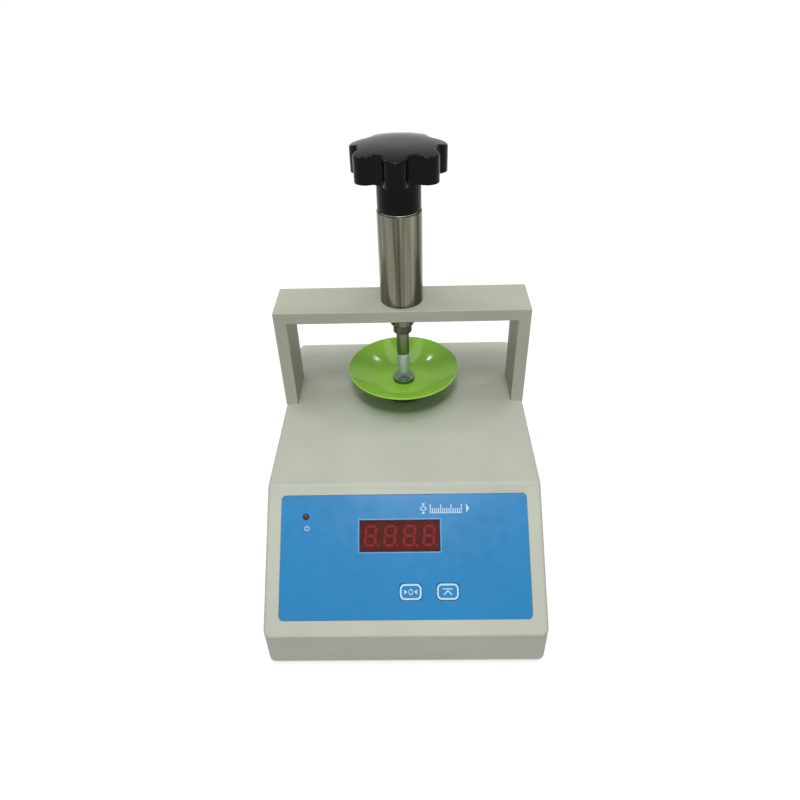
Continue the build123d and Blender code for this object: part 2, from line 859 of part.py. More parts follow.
# Spindle sleeve: stands on the beam, its spigot goes through it
sleeve_radius = sleeve_diameter / 2
spigot_radius = spigot_diameter / 2
spigot_bottom_z = beam_bottom_z - spigot_reach
chamber_radius = chamber_diameter / 2
chamber_floor_z = beam_top_z + chamber_floor_height
rod_radius = rod_diameter / 2
rod_bore_radius = rod_radius + running_gap
bush_radius = bush_diameter / 2
bush_bottom_z = sleeve_top_z - bush_length
plunger_body_radius = chamber_radius - running_gap
collar_top_z = bush_bottom_z - running_gap
collar_bottom_z = collar_top_z - collar_height
plunger_top_z = collar_bottom_z - press_travel_up - stop_margin
plunger_foot_z = chamber_floor_z + press_travel_down + stop_margin
thread_end_z = plunger_top_z - thread_engagement
plunger_bore_z = thread_end_z - press_travel_up - stop_margin
guide_z = (plunger_foot_z + press_travel_up + plunger_top_z - press_travel_down) / 2

with BuildPart() as spindle_sleeve:
    add(
        turned([
            (rod_bore_radius, spigot_bottom_z),
            (spigot_radius - spigot_edge, spigot_bottom_z),
            (spigot_radius, spigot_bottom_z + spigot_edge),
            (spigot_radius, beam_top_z),
            (sleeve_radius, beam_top_z),
            (sleeve_radius, sleeve_top_z - sleeve_edge),
            (sleeve_radius - sleeve_edge, sleeve_top_z),
            (bush_radius, sleeve_top_z),
            (bush_radius, bush_bottom_z),
            (chamber_radius, bush_bottom_z),
            (chamber_radius, chamber_floor_z),
            (rod_bore_radius, chamber_floor_z),
        ]).part
    )
    with BuildSketch(spindle_face):
        with Locations((0, guide_z)):
            Circle(m4 / 2)
    extrude(amount=-sleeve_radius, mode=Mode.SUBTRACT)

spindle_sleeve.part.label = "spindle_sleeve"
export_step(spindle_sleeve.part, "parts/spindle_sleeve.step")


def ring_nut(top, height):
    # A round nut with spanner slots round its rim.
    rim_radius = ring_nut_diameter / 2
    with BuildPart() as nut:
        add(
            turned([
                (spigot_radius + assembly_gap, top - height),
                (rim_radius - ring_nut_edge, top - height),
                (rim_radius, top - height + ring_nut_edge),
                (rim_radius, top - ring_nut_edge),
                (rim_radius - ring_nut_edge, top),
                (spigot_radius + assembly_gap, top),
            ]).part
        )
        with BuildSketch(level(top, y=spindle_y)):
            with PolarLocations(rim_radius, ring_nut_slots, start_angle=180 / ring_nut_slots):
                Rectangle(2 * ring_nut_slot_depth, ring_nut_slot_width)
        extrude(amount=-height, mode=Mode.SUBTRACT)
    return nut


sleeve_nut = ring_nut(beam_bottom_z, ring_nut_height)
sleeve_nut.part.label = "sleeve_nut"
export_step(sleeve_nut.part, "parts/sleeve_nut.step")

lock_nut = ring_nut(beam_bottom_z - ring_nut_height, lock_nut_height)
lock_nut.part.label = "lock_nut"
export_step(lock_nut.part, "parts/lock_nut.step")

shank_radius = shank_diameter / 2
spindle_bush = turned([
    (shank_radius + running_gap, bush_bottom_z),
    (bush_radius - assembly_gap, bush_bottom_z),
    (bush_radius - assembly_gap, sleeve_top_z),
    (shank_radius + running_gap, sleeve_top_z),
])
spindle_bush.part.label = "spindle_bush"
export_step(spindle_bush.part, "parts/spindle_bush.step")

washer_top_z = sleeve_top_z + washer_thickness
thrust_washer = turned([
    (shank_radius + running_gap, sleeve_top_z),
    (washer_diameter / 2, sleeve_top_z),
    (washer_diameter / 2, washer_top_z),
    (shank_radius + running_gap, washer_top_z),
])
thrust_washer.part.label = "thrust_washer"
export_step(thrust_washer.part, "parts/thrust_washer.step")

# Guide screw: its nose runs in the plunger's keyway, at the back of the sleeve
nose_start = plunger_body_radius - keyway_depth + guide_nose_gap
with BuildPart() as guide_screw:
    with BuildSketch(spindle_face.offset(-chamber_radius)):
        with Locations((0, guide_z)):
            Circle(m4 / 2 - thread_wall)
    extrude(amount=-(sleeve_radius - chamber_radius - stop_margin))
    with BuildSketch(spindle_face.offset(-nose_start)):
        with Locations((0, guide_z)):
            Circle(guide_nose_diameter / 2)
    extrude(amount=-(chamber_radius - nose_start))

guide_screw.part.label = "guide_screw"
export_step(guide_screw.part, "parts/guide_screw.step")

# Knob and lead screw: they turn in the bush and stay at their height
knob_base_z = washer_top_z + knob_gap
lobe_base_z = knob_base_z + hub_height
lobe_top_z = lobe_base_z + lobe_height
insert_top_z = knob_base_z + insert_length
lead_radius = lead_thread_diameter / 2
lead_screw = turned([
    (0, thread_end_z),
    (lead_radius - lead_thread_edge, thread_end_z),
    (lead_radius, thread_end_z + lead_thread_edge),
    (lead_radius, collar_bottom_z),
    (collar_diameter / 2, collar_bottom_z),
    (collar_diameter / 2, collar_top_z),
    (shank_radius, collar_top_z),
    (shank_radius, insert_top_z),
    (0, insert_top_z),
])
lead_screw.part.label = "lead_screw"
export_step(lead_screw.part, "parts/lead_screw.step")

set_screw_z = knob_base_z + set_screw_height
with BuildPart() as knob_insert:
    add(
        turned([
            (shank_radius + assembly_gap, knob_base_z),
            (insert_diameter / 2, knob_base_z),
            (insert_diameter / 2, insert_top_z),
            (shank_radius + assembly_gap, insert_top_z),
        ]).part
    )
    with BuildSketch(spindle_face):
        with Locations((0, set_screw_z)):
            Circle(m5 / 2)
    extrude(amount=-hub_diameter, mode=Mode.SUBTRACT)

knob_insert.part.label = "knob_insert"
export_step(knob_insert.part, "parts/knob_insert.step")

with BuildPart() as knob_set_screw:
    with BuildSketch(spindle_face.offset(-shank_radius)):
        with Locations((0, set_screw_z)):
            Circle(m5 / 2 - thread_wall)
    extrude(amount=-(hub_diameter / 2 - shank_radius - stop_margin))

knob_set_screw.part.label = "knob_set_screw"
export_step(knob_set_screw.part, "parts/knob_set_screw.step")

lobe_centre = knob_radius - lobe_radius
crown_sphere = (knob_radius ** 2 + crown_height ** 2) / (2 * crown_height)
first_lobe = -90 + lobe_phase

with BuildPart() as crown:
    with BuildSketch(spindle_face):
        with BuildLine():
            Line((0, lobe_base_z), (knob_radius, lobe_base_z))
            Line((knob_radius, lobe_base_z), (knob_radius, lobe_top_z))
            RadiusArc(
                (knob_radius, lobe_top_z), (0, lobe_top_z + crown_height), -crown_sphere
            )
            Line((0, lobe_top_z + crown_height), (0, lobe_base_z))
        make_face()
    revolve(axis=spindle_axis)

with BuildPart() as knob:
    with BuildSketch(level(lobe_base_z, y=spindle_y)) as star:
        Circle(valley_radius)
        with PolarLocations(lobe_centre, lobe_count, start_angle=first_lobe):
            Circle(lobe_radius)
        fillet(star.vertices(), valley_blend)
    extrude(amount=lobe_height + crown_height)
    add(crown.part, mode=Mode.INTERSECT)
    fillet(knob.faces().sort_by(Axis.Z)[-1].edges(), crown_edge)
    fillet(knob.faces().sort_by(Axis.Z)[0].outer_wire().edges(), hub_edge)
    # Hub below the lobes
    with BuildSketch(level(lobe_base_z, y=spindle_y)):
        Circle(hub_diameter / 2)
    extrude(amount=-hub_height)
    fillet(knob.faces().sort_by(Axis.Z)[0].edges(), hub_edge)
    # Pockets under the lobes, as in a moulded grip
    with BuildSketch(level(lobe_base_z, y=spindle_y)):
        with PolarLocations(lobe_centre, lobe_count, start_angle=first_lobe):
            Circle(lobe_pocket_diameter / 2)
    extrude(amount=lobe_pocket_depth, mode=Mode.SUBTRACT)
    # Bore for the insert and the hole of the set screw
    with BuildSketch(level(knob_base_z, y=spindle_y)):
        Circle(insert_diameter / 2 + assembly_gap)
    extrude(amount=insert_length, mode=Mode.SUBTRACT)
    with BuildSketch(spindle_face):
        with Locations((0, set_screw_z)):
            Circle(m5 / 2)
    extrude(amount=-hub_diameter, mode=Mode.SUBTRACT)

knob.part.label = "knob"
export_step(knob.part, "parts/knob.step")

# Plunger: a keyed nut on the lead screw, with the rod below it
rod_bottom_z = anvil_top_z + press_gap + head_length
plunger_bore_radius = lead_radius + running_gap
with BuildPart() as plunger:
    add(
        turned([
            (0, rod_bottom_z - head_stud_length),
            (head_stud_diameter / 2, rod_bottom_z - head_stud_length),
            (head_stud_diameter / 2, rod_bottom_z),
            (rod_radius, rod_bottom_z),
            (rod_radius, plunger_foot_z),
            (plunger_body_radius, plunger_foot_z),
            (plunger_body_radius, plunger_top_z),
            (plunger_bore_radius, plunger_top_z),
            (plunger_bore_radius, plunger_bore_z),
            (0, plunger_bore_z),
        ]).part
    )
    with BuildSketch(level(plunger_foot_z, y=spindle_y + plunger_body_radius)):
        Rectangle(keyway_width, 2 * keyway_depth)
    extrude(amount=plunger_top_z - plunger_foot_z, mode=Mode.SUBTRACT)

plunger.part.label = "plunger"
export_step(plunger.part, "parts/plunger.step")

head_radius = head_diameter / 2
head_bottom_z = anvil_top_z + press_gap
press_head = turned([
    (0, head_bottom_z),
    (head_radius - head_edge, head_bottom_z),
    (head_radius, head_bottom_z + head_edge),
    (head_radius, rod_bottom_z - head_edge),
    (head_radius - head_edge, rod_bottom_z),
    (head_stud_diameter / 2 + assembly_gap, rod_bottom_z),
    (head_stud_diameter / 2 + assembly_gap, rod_bottom_z - head_stud_length),
    (0, rod_bottom_z - head_stud_length),
])
press_head.part.label = "press_head"
export_step(press_head.part, "parts/press_head.step")

# Panel film, with windows for the display, the lamp and the keys
film_back = slope_plane.offset(-recess_depth)
with BuildPart() as panel_overlay:
    with BuildSketch(film_back):
        with Locations((0, film_up)):
            RectangleRounded(film_width, film_height, film_corner)
        with Locations((window_x, window_up)):
            Rectangle(
                window_width + 2 * window_slack, window_height + 2 * window_slack,
                mode=Mode.SUBTRACT,
            )
        with Locations((lamp_x, lamp_up)):
            Circle(lamp_diameter / 2 + window_slack, mode=Mode.SUBTRACT)
        with Locations(*[(x, key_up) for x in key_places.values()]):
            RectangleRounded(
                key_width + 2 * key_slack, key_height + 2 * key_slack, key_corner,
                mode=Mode.SUBTRACT,
            )
    extrude(amount=film_thickness)

panel_overlay.part.label = "panel_overlay"
export_step(panel_overlay.part, "parts/panel_overlay.step")

# Display: red filter, module behind it and the bars of its digits
film_front_depth = recess_depth - film_thickness
filter_front_depth = film_front_depth + filter_sink
filter_back_depth = filter_front_depth + filter_thickness

with BuildPart() as display_filter:
    with BuildSketch(slope_plane.offset(-filter_back_depth)):
        with Locations((window_x, window_up)):
            Rectangle(window_width, window_height)
    extrude(amount=filter_thickness)

display_filter.part.label = "display_filter"
export_step(display_filter.part, "parts/display_filter.step")

with BuildPart() as display_module:
    with BuildSketch(slope_plane.offset(-board_depth)):
        with Locations((window_x, window_up)):
            Rectangle(module_width, module_height)
    extrude(amount=module_depth)

display_module.part.label = "display_module"
export_step(display_module.part, "parts/display_module.step")

bar_reach = digit_width - segment_width
bar_rise = (digit_height - segment_width) / 2
lean = tan(radians(digit_slant))
flat_bars = [(0, bar_rise), (0, 0), (0, -bar_rise)]
upright_bars = [
    (side * bar_reach / 2, half * bar_rise / 2) for side in (-1, 1) for half in (-1, 1)
]


def bar(length):
    # One bar of a digit: a strip with pointed ends.
    half = length / 2 - segment_gap
    tip = segment_width / 2
    Polygon(
        (-half, 0), (-half + tip, tip), (half - tip, tip), (half, 0), (half - tip, -tip),
        (-half + tip, -tip), align=None,
    )


with BuildPart() as display_digits:
    with BuildSketch(slope_plane.offset(-module_front_depth)):
        for digit in range(digit_count):
            digit_x = window_x + (digit - (digit_count - 1) / 2) * digit_pitch
            for x, y in flat_bars:
                with Locations((digit_x + x + lean * y, window_up + y)):
                    bar(bar_reach)
            for x, y in upright_bars:
                with Locations(Location((digit_x + x + lean * y, window_up + y), 90 - digit_slant)):
                    bar(bar_rise)
            with Locations((digit_x + digit_width / 2 + point_diameter / 2, window_up - bar_rise)):
                Circle(point_diameter / 2)
    extrude(amount=segment_relief)

display_digits.part.label = "display_digits"
export_step(display_digits.part, "parts/display_digits.step")

# Indicator lamp with its flange and leads
lamp_radius = lamp_diameter / 2
lamp_flange_depth = lamp_flange_height + lamp_body_length
with BuildPart() as power_lamp:
    with BuildSketch(slope_plane.offset(-lamp_flange_depth)):
        with Locations((lamp_x, lamp_up)):
            Circle(lamp_flange_diameter / 2)
    extrude(amount=lamp_flange_height)
    with BuildSketch(slope_plane.offset(-lamp_flange_depth)):
        with Locations((lamp_x, lamp_up)):
            Circle(lamp_radius)
    extrude(amount=lamp_flange_depth - film_front_depth + lamp_radius / 2)
    fillet(
        power_lamp.edges().filter_by(GeomType.CIRCLE).sort_by(slope_axis)[-1],
        lamp_radius / 2,
    )
    with BuildSketch(slope_plane.offset(-board_depth)):
        with Locations((lamp_x, lamp_up)):
            with GridLocations(lamp_lead_pitch, 0, 2, 1):
                Circle(lamp_lead_diameter / 2)
    extrude(amount=board_depth - lamp_flange_depth)

power_lamp.part.label = "power_lamp"
export_step(power_lamp.part, "parts/power_lamp.step")

# Keys: pads held behind the case wall by a flange, each over its own switch
key_top_depth = film_front_depth - key_proud
flange_top_depth = case_wall + running_gap
flange_back_depth = flange_top_depth + key_flange_thickness
tact_top_depth = board_depth - tact_body_height - tact_button_height
stem_end_depth = tact_top_depth - key_travel - running_gap


def key_pad(x):
    # A key's pad, its flange and the stem that meets the switch.
    with BuildPart() as key:
        with BuildSketch(slope_plane.offset(-flange_top_depth)):
            with Locations((x, key_up)):
                RectangleRounded(key_width, key_height, key_corner)
        extrude(amount=flange_top_depth - key_top_depth)
        fillet(key.faces().sort_by(slope_axis)[-1].edges(), key_proud)
        with BuildSketch(slope_plane.offset(-flange_back_depth)):
            with Locations((x, key_up)):
                RectangleRounded(
                    key_width + 2 * key_flange, key_height + 2 * key_flange, key_corner
                )
        extrude(amount=key_flange_thickness)
        with BuildSketch(slope_plane.offset(-stem_end_depth)):
            with Locations((x, key_up)):
                Circle(key_stem_diameter / 2)
        extrude(amount=stem_end_depth - flange_back_depth)
    return key


zero_key = key_pad(key_places["zero_key"])
zero_key.part.label = "zero_key"
export_step(zero_key.part, "parts/zero_key.step")

hold_key = key_pad(key_places["hold_key"])
hold_key.part.label = "hold_key"
export_step(hold_key.part, "parts/hold_key.step")

with BuildPart() as tact_switches:
    with BuildSketch(slope_plane.offset(-board_depth)):
        with Locations(*[(x, key_up) for x in key_places.values()]):
            Rectangle(tact_side, tact_side)
    extrude(amount=tact_body_height)
    with BuildSketch(slope_plane.offset(-board_depth)):
        with Locations(*[(x, key_up) for x in key_places.values()]):
            Circle(key_stem_diameter / 2)
    extrude(amount=board_depth - tact_top_depth)

tact_switches.part.label = "tact_switches"
export_step(tact_switches.part, "parts/tact_switches.step")

with BuildPart() as panel_board:
    with BuildSketch(slope_plane.offset(-board_depth - board_thickness)):
        with Locations(
            ((panel_board_left + panel_board_right) / 2, (panel_board_front + panel_board_back) / 2)
        ):
            Rectangle(panel_board_right - panel_board_left, panel_board_back - panel_board_front)
        with Locations(*panel_boss_places):
            Circle((m3 + screw_slack) / 2, mode=Mode.SUBTRACT)
    extrude(amount=board_thickness)

panel_board.part.label = "panel_board"
export_step(panel_board.part, "parts/panel_board.step")

panel_screws = screws(
    slope_plane.offset(-board_depth - board_thickness), panel_boss_places, m3,
    board_thickness + panel_pilot_depth - screw_tip_gap, m3_head, m3_head_height, side=-1,
)
panel_screws.part.label = "panel_screws"
export_step(panel_screws.part, "parts/panel_screws.step")

# Main board on its pillars
main_board_z = base_top_z + pillar_height
main_board_top_z = main_board_z + board_thickness
with BuildPart() as board_pillars:
    with BuildSketch(level(base_top_z)):
        with Locations(*pillar_spots):
            Circle(pillar_diameter / 2)
            Circle(m3 / 2, mode=Mode.SUBTRACT)
    extrude(amount=pillar_height)

board_pillars.part.label = "board_pillars"
export_step(board_pillars.part, "parts/board_pillars.step")

with BuildPart() as main_board:
    with BuildSketch(level(main_board_z, x=main_board_x, y=main_board_y)):
        Rectangle(main_board_width, main_board_length)
    extrude(amount=board_thickness)
    with BuildSketch(level(main_board_z)):
        with Locations(*pillar_spots):
            Circle((m3 + screw_slack) / 2)
    extrude(amount=board_thickness, mode=Mode.SUBTRACT)

main_board.part.label = "main_board"
export_step(main_board.part, "parts/main_board.step")

half_pillar = pillar_height / 2 - assembly_gap
with BuildPart() as board_screws:
    add(
        screws(
            level(main_board_top_z), pillar_spots, m3, board_thickness + half_pillar, m3_head,
            m3_head_height,
        ).part
    )
    add(
        screws(
            level(case_base_z), pillar_spots, m3, base_thickness + half_pillar, m3_head,
            m3_head_height, side=-1,
        ).part
    )

board_screws.part.label = "board_screws"
export_step(board_screws.part, "parts/board_screws.step")

header_x = main_board_width / 2 - header_inset_x
header_y = main_board_length / 2 - header_inset_y
capacitor_y = main_board_length / 2 - capacitor_inset
with BuildPart() as board_components:
    with BuildSketch(level(main_board_top_z, x=main_board_x, y=main_board_y)):
        with Locations(*[(x, capacitor_y) for x in capacitor_places]):
            Circle(capacitor_diameter / 2)
    extrude(amount=capacitor_height)
    fillet(board_components.faces().group_by(Axis.Z)[-1].edges(), inner_edge_radius)
    with BuildSketch(level(main_board_top_z, x=main_board_x, y=main_board_y)):
        with Locations(*chip_spots):
            Rectangle(chip_length, chip_width)
    extrude(amount=chip_height)
    with BuildSketch(level(main_board_top_z, x=main_board_x, y=main_board_y)):
        with Locations((header_x, -header_y), (header_x, header_y)):
            Rectangle(header_width, header_length)
    extrude(amount=header_height)

board_components.part.label = "board_components"
export_step(board_components.part, "parts/board_components.step")

# Transformer: laminated core with two windows, coil round its middle limb, strap over it
transformer_face = Plane.YZ.offset(transformer_x)
core_middle_z = base_top_z + core_height / 2
core_window_width = (core_width - 4 * core_limb) / 2
with BuildPart() as transformer_core:
    with BuildSketch(transformer_face):
        with Locations((transformer_y, core_middle_z)):
            Rectangle(core_width, core_height)
            with GridLocations(2 * core_limb + core_window_width, 0, 2, 1):
                Rectangle(core_window_width, core_window_height, mode=Mode.SUBTRACT)
    extrude(amount=core_stack / 2, both=True)

transformer_core.part.label = "transformer_core"
export_step(transformer_core.part, "parts/transformer_core.step")

with BuildPart() as transformer_coil:
    coil_length = core_stack + 2 * coil_overhang
    with BuildSketch(transformer_face):
        with Locations((transformer_y, core_middle_z)):
            Rectangle(
                2 * (core_limb + core_window_width - coil_gap), core_window_height - 2 * coil_gap
            )
    extrude(amount=coil_length / 2, both=True)
    fillet(transformer_coil.edges().filter_by(Axis.Z), coil_edge)
    with BuildSketch(transformer_face):
        with Locations((transformer_y, core_middle_z)):
            Rectangle(2 * (core_limb + coil_gap), core_window_height)
    extrude(amount=core_stack / 2 + coil_gap, both=True, mode=Mode.SUBTRACT)

transformer_coil.part.label = "transformer_coil"
export_step(transformer_coil.part, "parts/transformer_coil.step")

strap_top_z = base_top_z + core_height
with BuildPart() as transformer_strap:
    with BuildSketch(transformer_face):
        with Locations((transformer_y, (base_top_z + strap_top_z + strap_thickness) / 2)):
            Rectangle(core_width + 2 * strap_thickness, core_height + strap_thickness)
        with Locations((transformer_y, base_top_z + strap_thickness / 2)):
            Rectangle(core_width + 2 * (strap_thickness + strap_foot), strap_thickness)
        with Locations((transformer_y, core_middle_z)):
            Rectangle(core_width, core_height, mode=Mode.SUBTRACT)
    extrude(amount=core_stack / 2 - strap_thickness, both=True)
    with BuildSketch(level(base_top_z)):
        with Locations(*strap_spots):
            Circle((m3 + screw_slack) / 2)
    extrude(amount=strap_thickness, mode=Mode.SUBTRACT)

transformer_strap.part.label = "transformer_strap"
export_step(transformer_strap.part, "parts/transformer_strap.step")

transformer_screws = screws(
    level(base_top_z + strap_thickness), strap_spots, m3, strap_thickness + base_thickness,
    m3_head, m3_head_height,
)
transformer_screws.part.label = "transformer_screws"
export_step(transformer_screws.part, "parts/transformer_screws.step")

# Mains inlet: flanged body with a shrouded socket and three flat pins
socket_floor = inlet_flange_thickness - socket_depth
with BuildPart() as power_inlet:
    with BuildSketch(rear_at(inlet_x)):
        RectangleRounded(inlet_flange_width, inlet_flange_height, socket_corner)
    extrude(amount=inlet_flange_thickness)
    with BuildSketch(rear_at(inlet_x)):
        Rectangle(inlet_body_width, inlet_body_height)
    extrude(amount=-inlet_body_depth)
    with BuildSketch(rear_at(inlet_x, socket_floor)) as socket:
        Rectangle(socket_width, socket_height)
        chamfer(socket.vertices().group_by(Axis.Y)[-1], socket_corner)
    extrude(amount=socket_depth, mode=Mode.SUBTRACT)
    with BuildSketch(rear_at(inlet_x)):
        with GridLocations(inlet_screw_pitch, 0, 2, 1):
            Circle((m3 + screw_slack) / 2)
    extrude(amount=inlet_flange_thickness, mode=Mode.SUBTRACT)
    pin_spots = [(-pin_pitch / 2, -pin_drop), (pin_pitch / 2, -pin_drop), (0, earth_pin_rise)]
    with BuildSketch(rear_at(inlet_x)):
        with Locations(*pin_spots):
            Rectangle(pin_width, pin_height)
    extrude(amount=-inlet_body_depth, mode=Mode.SUBTRACT)

power_inlet.part.label = "power_inlet"
export_step(power_inlet.part, "parts/power_inlet.step")

with BuildPart() as inlet_pins:
    with BuildSketch(rear_at(inlet_x, -inlet_body_depth - pin_tail)):
        with Locations(*pin_spots):
            Rectangle(pin_width, pin_height)
    extrude(amount=inlet_body_depth + pin_tail + socket_floor + pin_reach)

inlet_pins.part.label = "inlet_pins"
export_step(inlet_pins.part, "parts/inlet_pins.step")

inlet_screw_spots = [(-inlet_screw_pitch / 2, 0), (inlet_screw_pitch / 2, 0)]
inlet_screws = screws(
    rear_at(inlet_x, inlet_flange_thickness), inlet_screw_spots, m3,
    inlet_flange_thickness + case_wall + m3_nut_height, m3_head, m3_head_height,
)
inlet_screws.part.label = "inlet_screws"
export_step(inlet_screws.part, "parts/inlet_screws.step")

with BuildPart() as inlet_nuts:
    with BuildSketch(rear_at(inlet_x, -case_wall)):
        with Locations(*inlet_screw_spots):
            RegularPolygon(m3_nut / 2, 6, major_radius=False)
            Circle(m3 / 2, mode=Mode.SUBTRACT)
    extrude(amount=-m3_nut_height)

inlet_nuts.part.label = "inlet_nuts"
export_step(inlet_nuts.part, "parts/inlet_nuts.step")

# Rocker switch: a housing with a pocket, and a rocker that tilts in it
rocker_axis_y = rear_y + rocker_hinge_height
with BuildPart() as switch_housing:
    with BuildSketch(rear_at(switch_x)):
        RectangleRounded(switch_flange_width, switch_flange_height, inner_edge_radius)
    extrude(amount=switch_flange_thickness)
    with BuildSketch(rear_at(switch_x)):
        Rectangle(switch_body_width, switch_body_height)
    extrude(amount=-switch_body_depth)
    with BuildSketch(rear_at(switch_x, switch_flange_thickness)):
        Rectangle(rocker_width + 2 * rocker_side_gap, rocker_pocket_height)
    extrude(amount=-rocker_pocket_depth, mode=Mode.SUBTRACT)
    # Pivot pin across the pocket
    with BuildSketch(Plane.YZ.offset(switch_x)):
        with Locations((rocker_axis_y, rear_fitting_z)):
            Circle(rocker_hinge_diameter / 2)
    extrude(amount=switch_body_width / 2, both=True)

switch_housing.part.label = "switch_housing"
export_step(switch_housing.part, "parts/switch_housing.step")

rocker_plane = Plane(
    origin=(switch_x, rocker_axis_y, rear_fitting_z),
    x_dir=(0, cos(radians(rocker_tilt)), -sin(radians(rocker_tilt))),
    z_dir=(1, 0, 0),
)
with BuildPart() as power_rocker:
    with BuildSketch(rocker_plane):
        with BuildLine():
            ThreePointArc(
                (rocker_tip, -rocker_half), (rocker_dip, 0), (rocker_tip, rocker_half)
            )
            Polyline(
                (rocker_tip, rocker_half), (-rocker_shoulder, rocker_half - rocker_shoulder),
                (-rocker_belly, rocker_belly / 2),
            )
            Line((-rocker_belly, rocker_belly / 2), (-rocker_belly, -rocker_belly / 2))
            Polyline(
                (-rocker_belly, -rocker_belly / 2), (-rocker_shoulder, rocker_shoulder - rocker_half),
                (rocker_tip, -rocker_half),
            )
        make_face()
        Circle(rocker_hinge_diameter / 2 + rocker_pin_slack, mode=Mode.SUBTRACT)
    extrude(amount=rocker_width / 2, both=True)

power_rocker.part.label = "power_rocker"
export_step(power_rocker.part, "parts/power_rocker.step")

# Fuse holder with its screw cap and the fuse inside
with BuildPart() as fuse_holder:
    with BuildSketch(rear_at(fuse_x)):
        Circle(fuse_flange_diameter / 2)
    extrude(amount=fuse_flange_thickness)
    with BuildSketch(rear_at(fuse_x)):
        Circle(fuse_body_diameter / 2)
    extrude(amount=-fuse_body_length)
    with BuildSketch(rear_at(fuse_x, fuse_flange_thickness)):
        Circle(fuse_bore_diameter / 2)
    extrude(amount=-(fuse_flange_thickness + fuse_body_length - case_wall), mode=Mode.SUBTRACT)

fuse_holder.part.label = "fuse_holder"
export_step(fuse_holder.part, "parts/fuse_holder.step")

with BuildPart() as fuse_cap:
    with BuildSketch(rear_at(fuse_x, fuse_flange_thickness)):
        Circle(fuse_cap_diameter / 2)
    extrude(amount=fuse_cap_length)
    chamfer(fuse_cap.faces().sort_by(Axis.Y)[-1].edges(), sleeve_edge)
    with BuildSketch(rear_at(fuse_x, fuse_flange_thickness + fuse_cap_length)):
        Rectangle(fuse_cap_diameter, fuse_cap_slot_width)
    extrude(amount=-fuse_cap_slot_depth, mode=Mode.SUBTRACT)
    with BuildSketch(rear_at(fuse_x, fuse_flange_thickness)):
        Circle(fuse_cap_stem / 2)
    extrude(amount=-fuse_stem_length)

fuse_cap.part.label = "fuse_cap"
export_step(fuse_cap.part, "parts/fuse_cap.step")

with BuildPart() as fuse:
    with BuildSketch(rear_at(fuse_x, fuse_flange_thickness - fuse_stem_length)):
        Circle(fuse_diameter / 2)
    extrude(amount=-fuse_length)

fuse.part.label = "fuse"
export_step(fuse.part, "parts/fuse.step")
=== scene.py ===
from math import acos, asin, atan2, cos, pi, radians, sin, sqrt, tau

import bmesh
import bpy
from mathutils import Matrix, Vector


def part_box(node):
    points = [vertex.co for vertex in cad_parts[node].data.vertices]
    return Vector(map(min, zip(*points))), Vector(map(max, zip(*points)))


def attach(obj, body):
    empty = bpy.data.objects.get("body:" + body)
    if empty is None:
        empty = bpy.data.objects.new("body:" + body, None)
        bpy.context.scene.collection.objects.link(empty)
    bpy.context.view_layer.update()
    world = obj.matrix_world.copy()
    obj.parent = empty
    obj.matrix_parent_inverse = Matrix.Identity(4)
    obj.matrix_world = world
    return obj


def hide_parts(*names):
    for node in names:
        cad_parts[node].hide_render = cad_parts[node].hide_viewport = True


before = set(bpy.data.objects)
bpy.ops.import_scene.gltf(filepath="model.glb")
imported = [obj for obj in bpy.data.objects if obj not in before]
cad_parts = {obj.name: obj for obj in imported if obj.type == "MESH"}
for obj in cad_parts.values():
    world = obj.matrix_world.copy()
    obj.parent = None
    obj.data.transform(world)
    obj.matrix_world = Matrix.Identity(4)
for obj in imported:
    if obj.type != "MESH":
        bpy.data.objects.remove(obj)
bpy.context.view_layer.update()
mm = 0.001  # shapes are drawn in millimetres and shrunk when they are finished
finishes = {}  # material by slot name


# Materials

def newFinish(slotName, colour, rough, metal=0.0, gloss=0.5):
    material = bpy.data.materials.new(slotName)
    material.use_nodes = True
    surface = material.node_tree.nodes["Principled BSDF"]
    surface.inputs["Base Color"].default_value = (*colour, 1)
    surface.inputs["Roughness"].default_value = rough
    surface.inputs["Metallic"].default_value = metal
    surface.inputs["Specular IOR Level"].default_value = gloss
    finishes[slotName] = material
    return material.node_tree, surface


def addNoise(tree, scale, stretch=(1, 1, 1), detail=3.0, rough=0.5):
    # Cloudy grey pattern on the piece's own coordinates, scale in patches per metre
    coords = tree.nodes.new("ShaderNodeTexCoord")
    mapping = tree.nodes.new("ShaderNodeMapping")
    mapping.inputs["Scale"].default_value = stretch
    noise = tree.nodes.new("ShaderNodeTexNoise")
    noise.inputs["Scale"].default_value = scale
    noise.inputs["Detail"].default_value = detail
    noise.inputs["Roughness"].default_value = rough
    tree.links.new(coords.outputs["Object"], mapping.inputs["Vector"])
    tree.links.new(mapping.outputs["Vector"], noise.inputs["Vector"])
    return noise.outputs["Fac"]


def mixColours(tree, surface, factor, dark, light, low=0.35, high=0.65):
    ramp = tree.nodes.new("ShaderNodeValToRGB")
    ramp.color_ramp.elements[0].position = low
    ramp.color_ramp.elements[0].color = (*dark, 1)
    ramp.color_ramp.elements[1].position = high
    ramp.color_ramp.elements[1].color = (*light, 1)
    tree.links.new(factor, ramp.inputs["Fac"])
    tree.links.new(ramp.outputs["Color"], surface.inputs["Base Color"])


def varyRough(tree, surface, factor, low, high):
    spread = tree.nodes.new("ShaderNodeMapRange")
    spread.inputs["From Min"].default_value = 0.3
    spread.inputs["From Max"].default_value = 0.7
    spread.inputs["To Min"].default_value = low
    spread.inputs["To Max"].default_value = high
    tree.links.new(factor, spread.inputs["Value"])
    tree.links.new(spread.outputs["Result"], surface.inputs["Roughness"])


def addBump(tree, surface, height, strength, distance):
    bump = tree.nodes.new("ShaderNodeBump")
    bump.inputs["Strength"].default_value = strength
    bump.inputs["Distance"].default_value = distance
    tree.links.new(height, bump.inputs["Height"])
    tree.links.new(bump.outputs["Normal"], surface.inputs["Normal"])


def shade(colour, amount):
    return tuple(channel * amount for channel in colour)


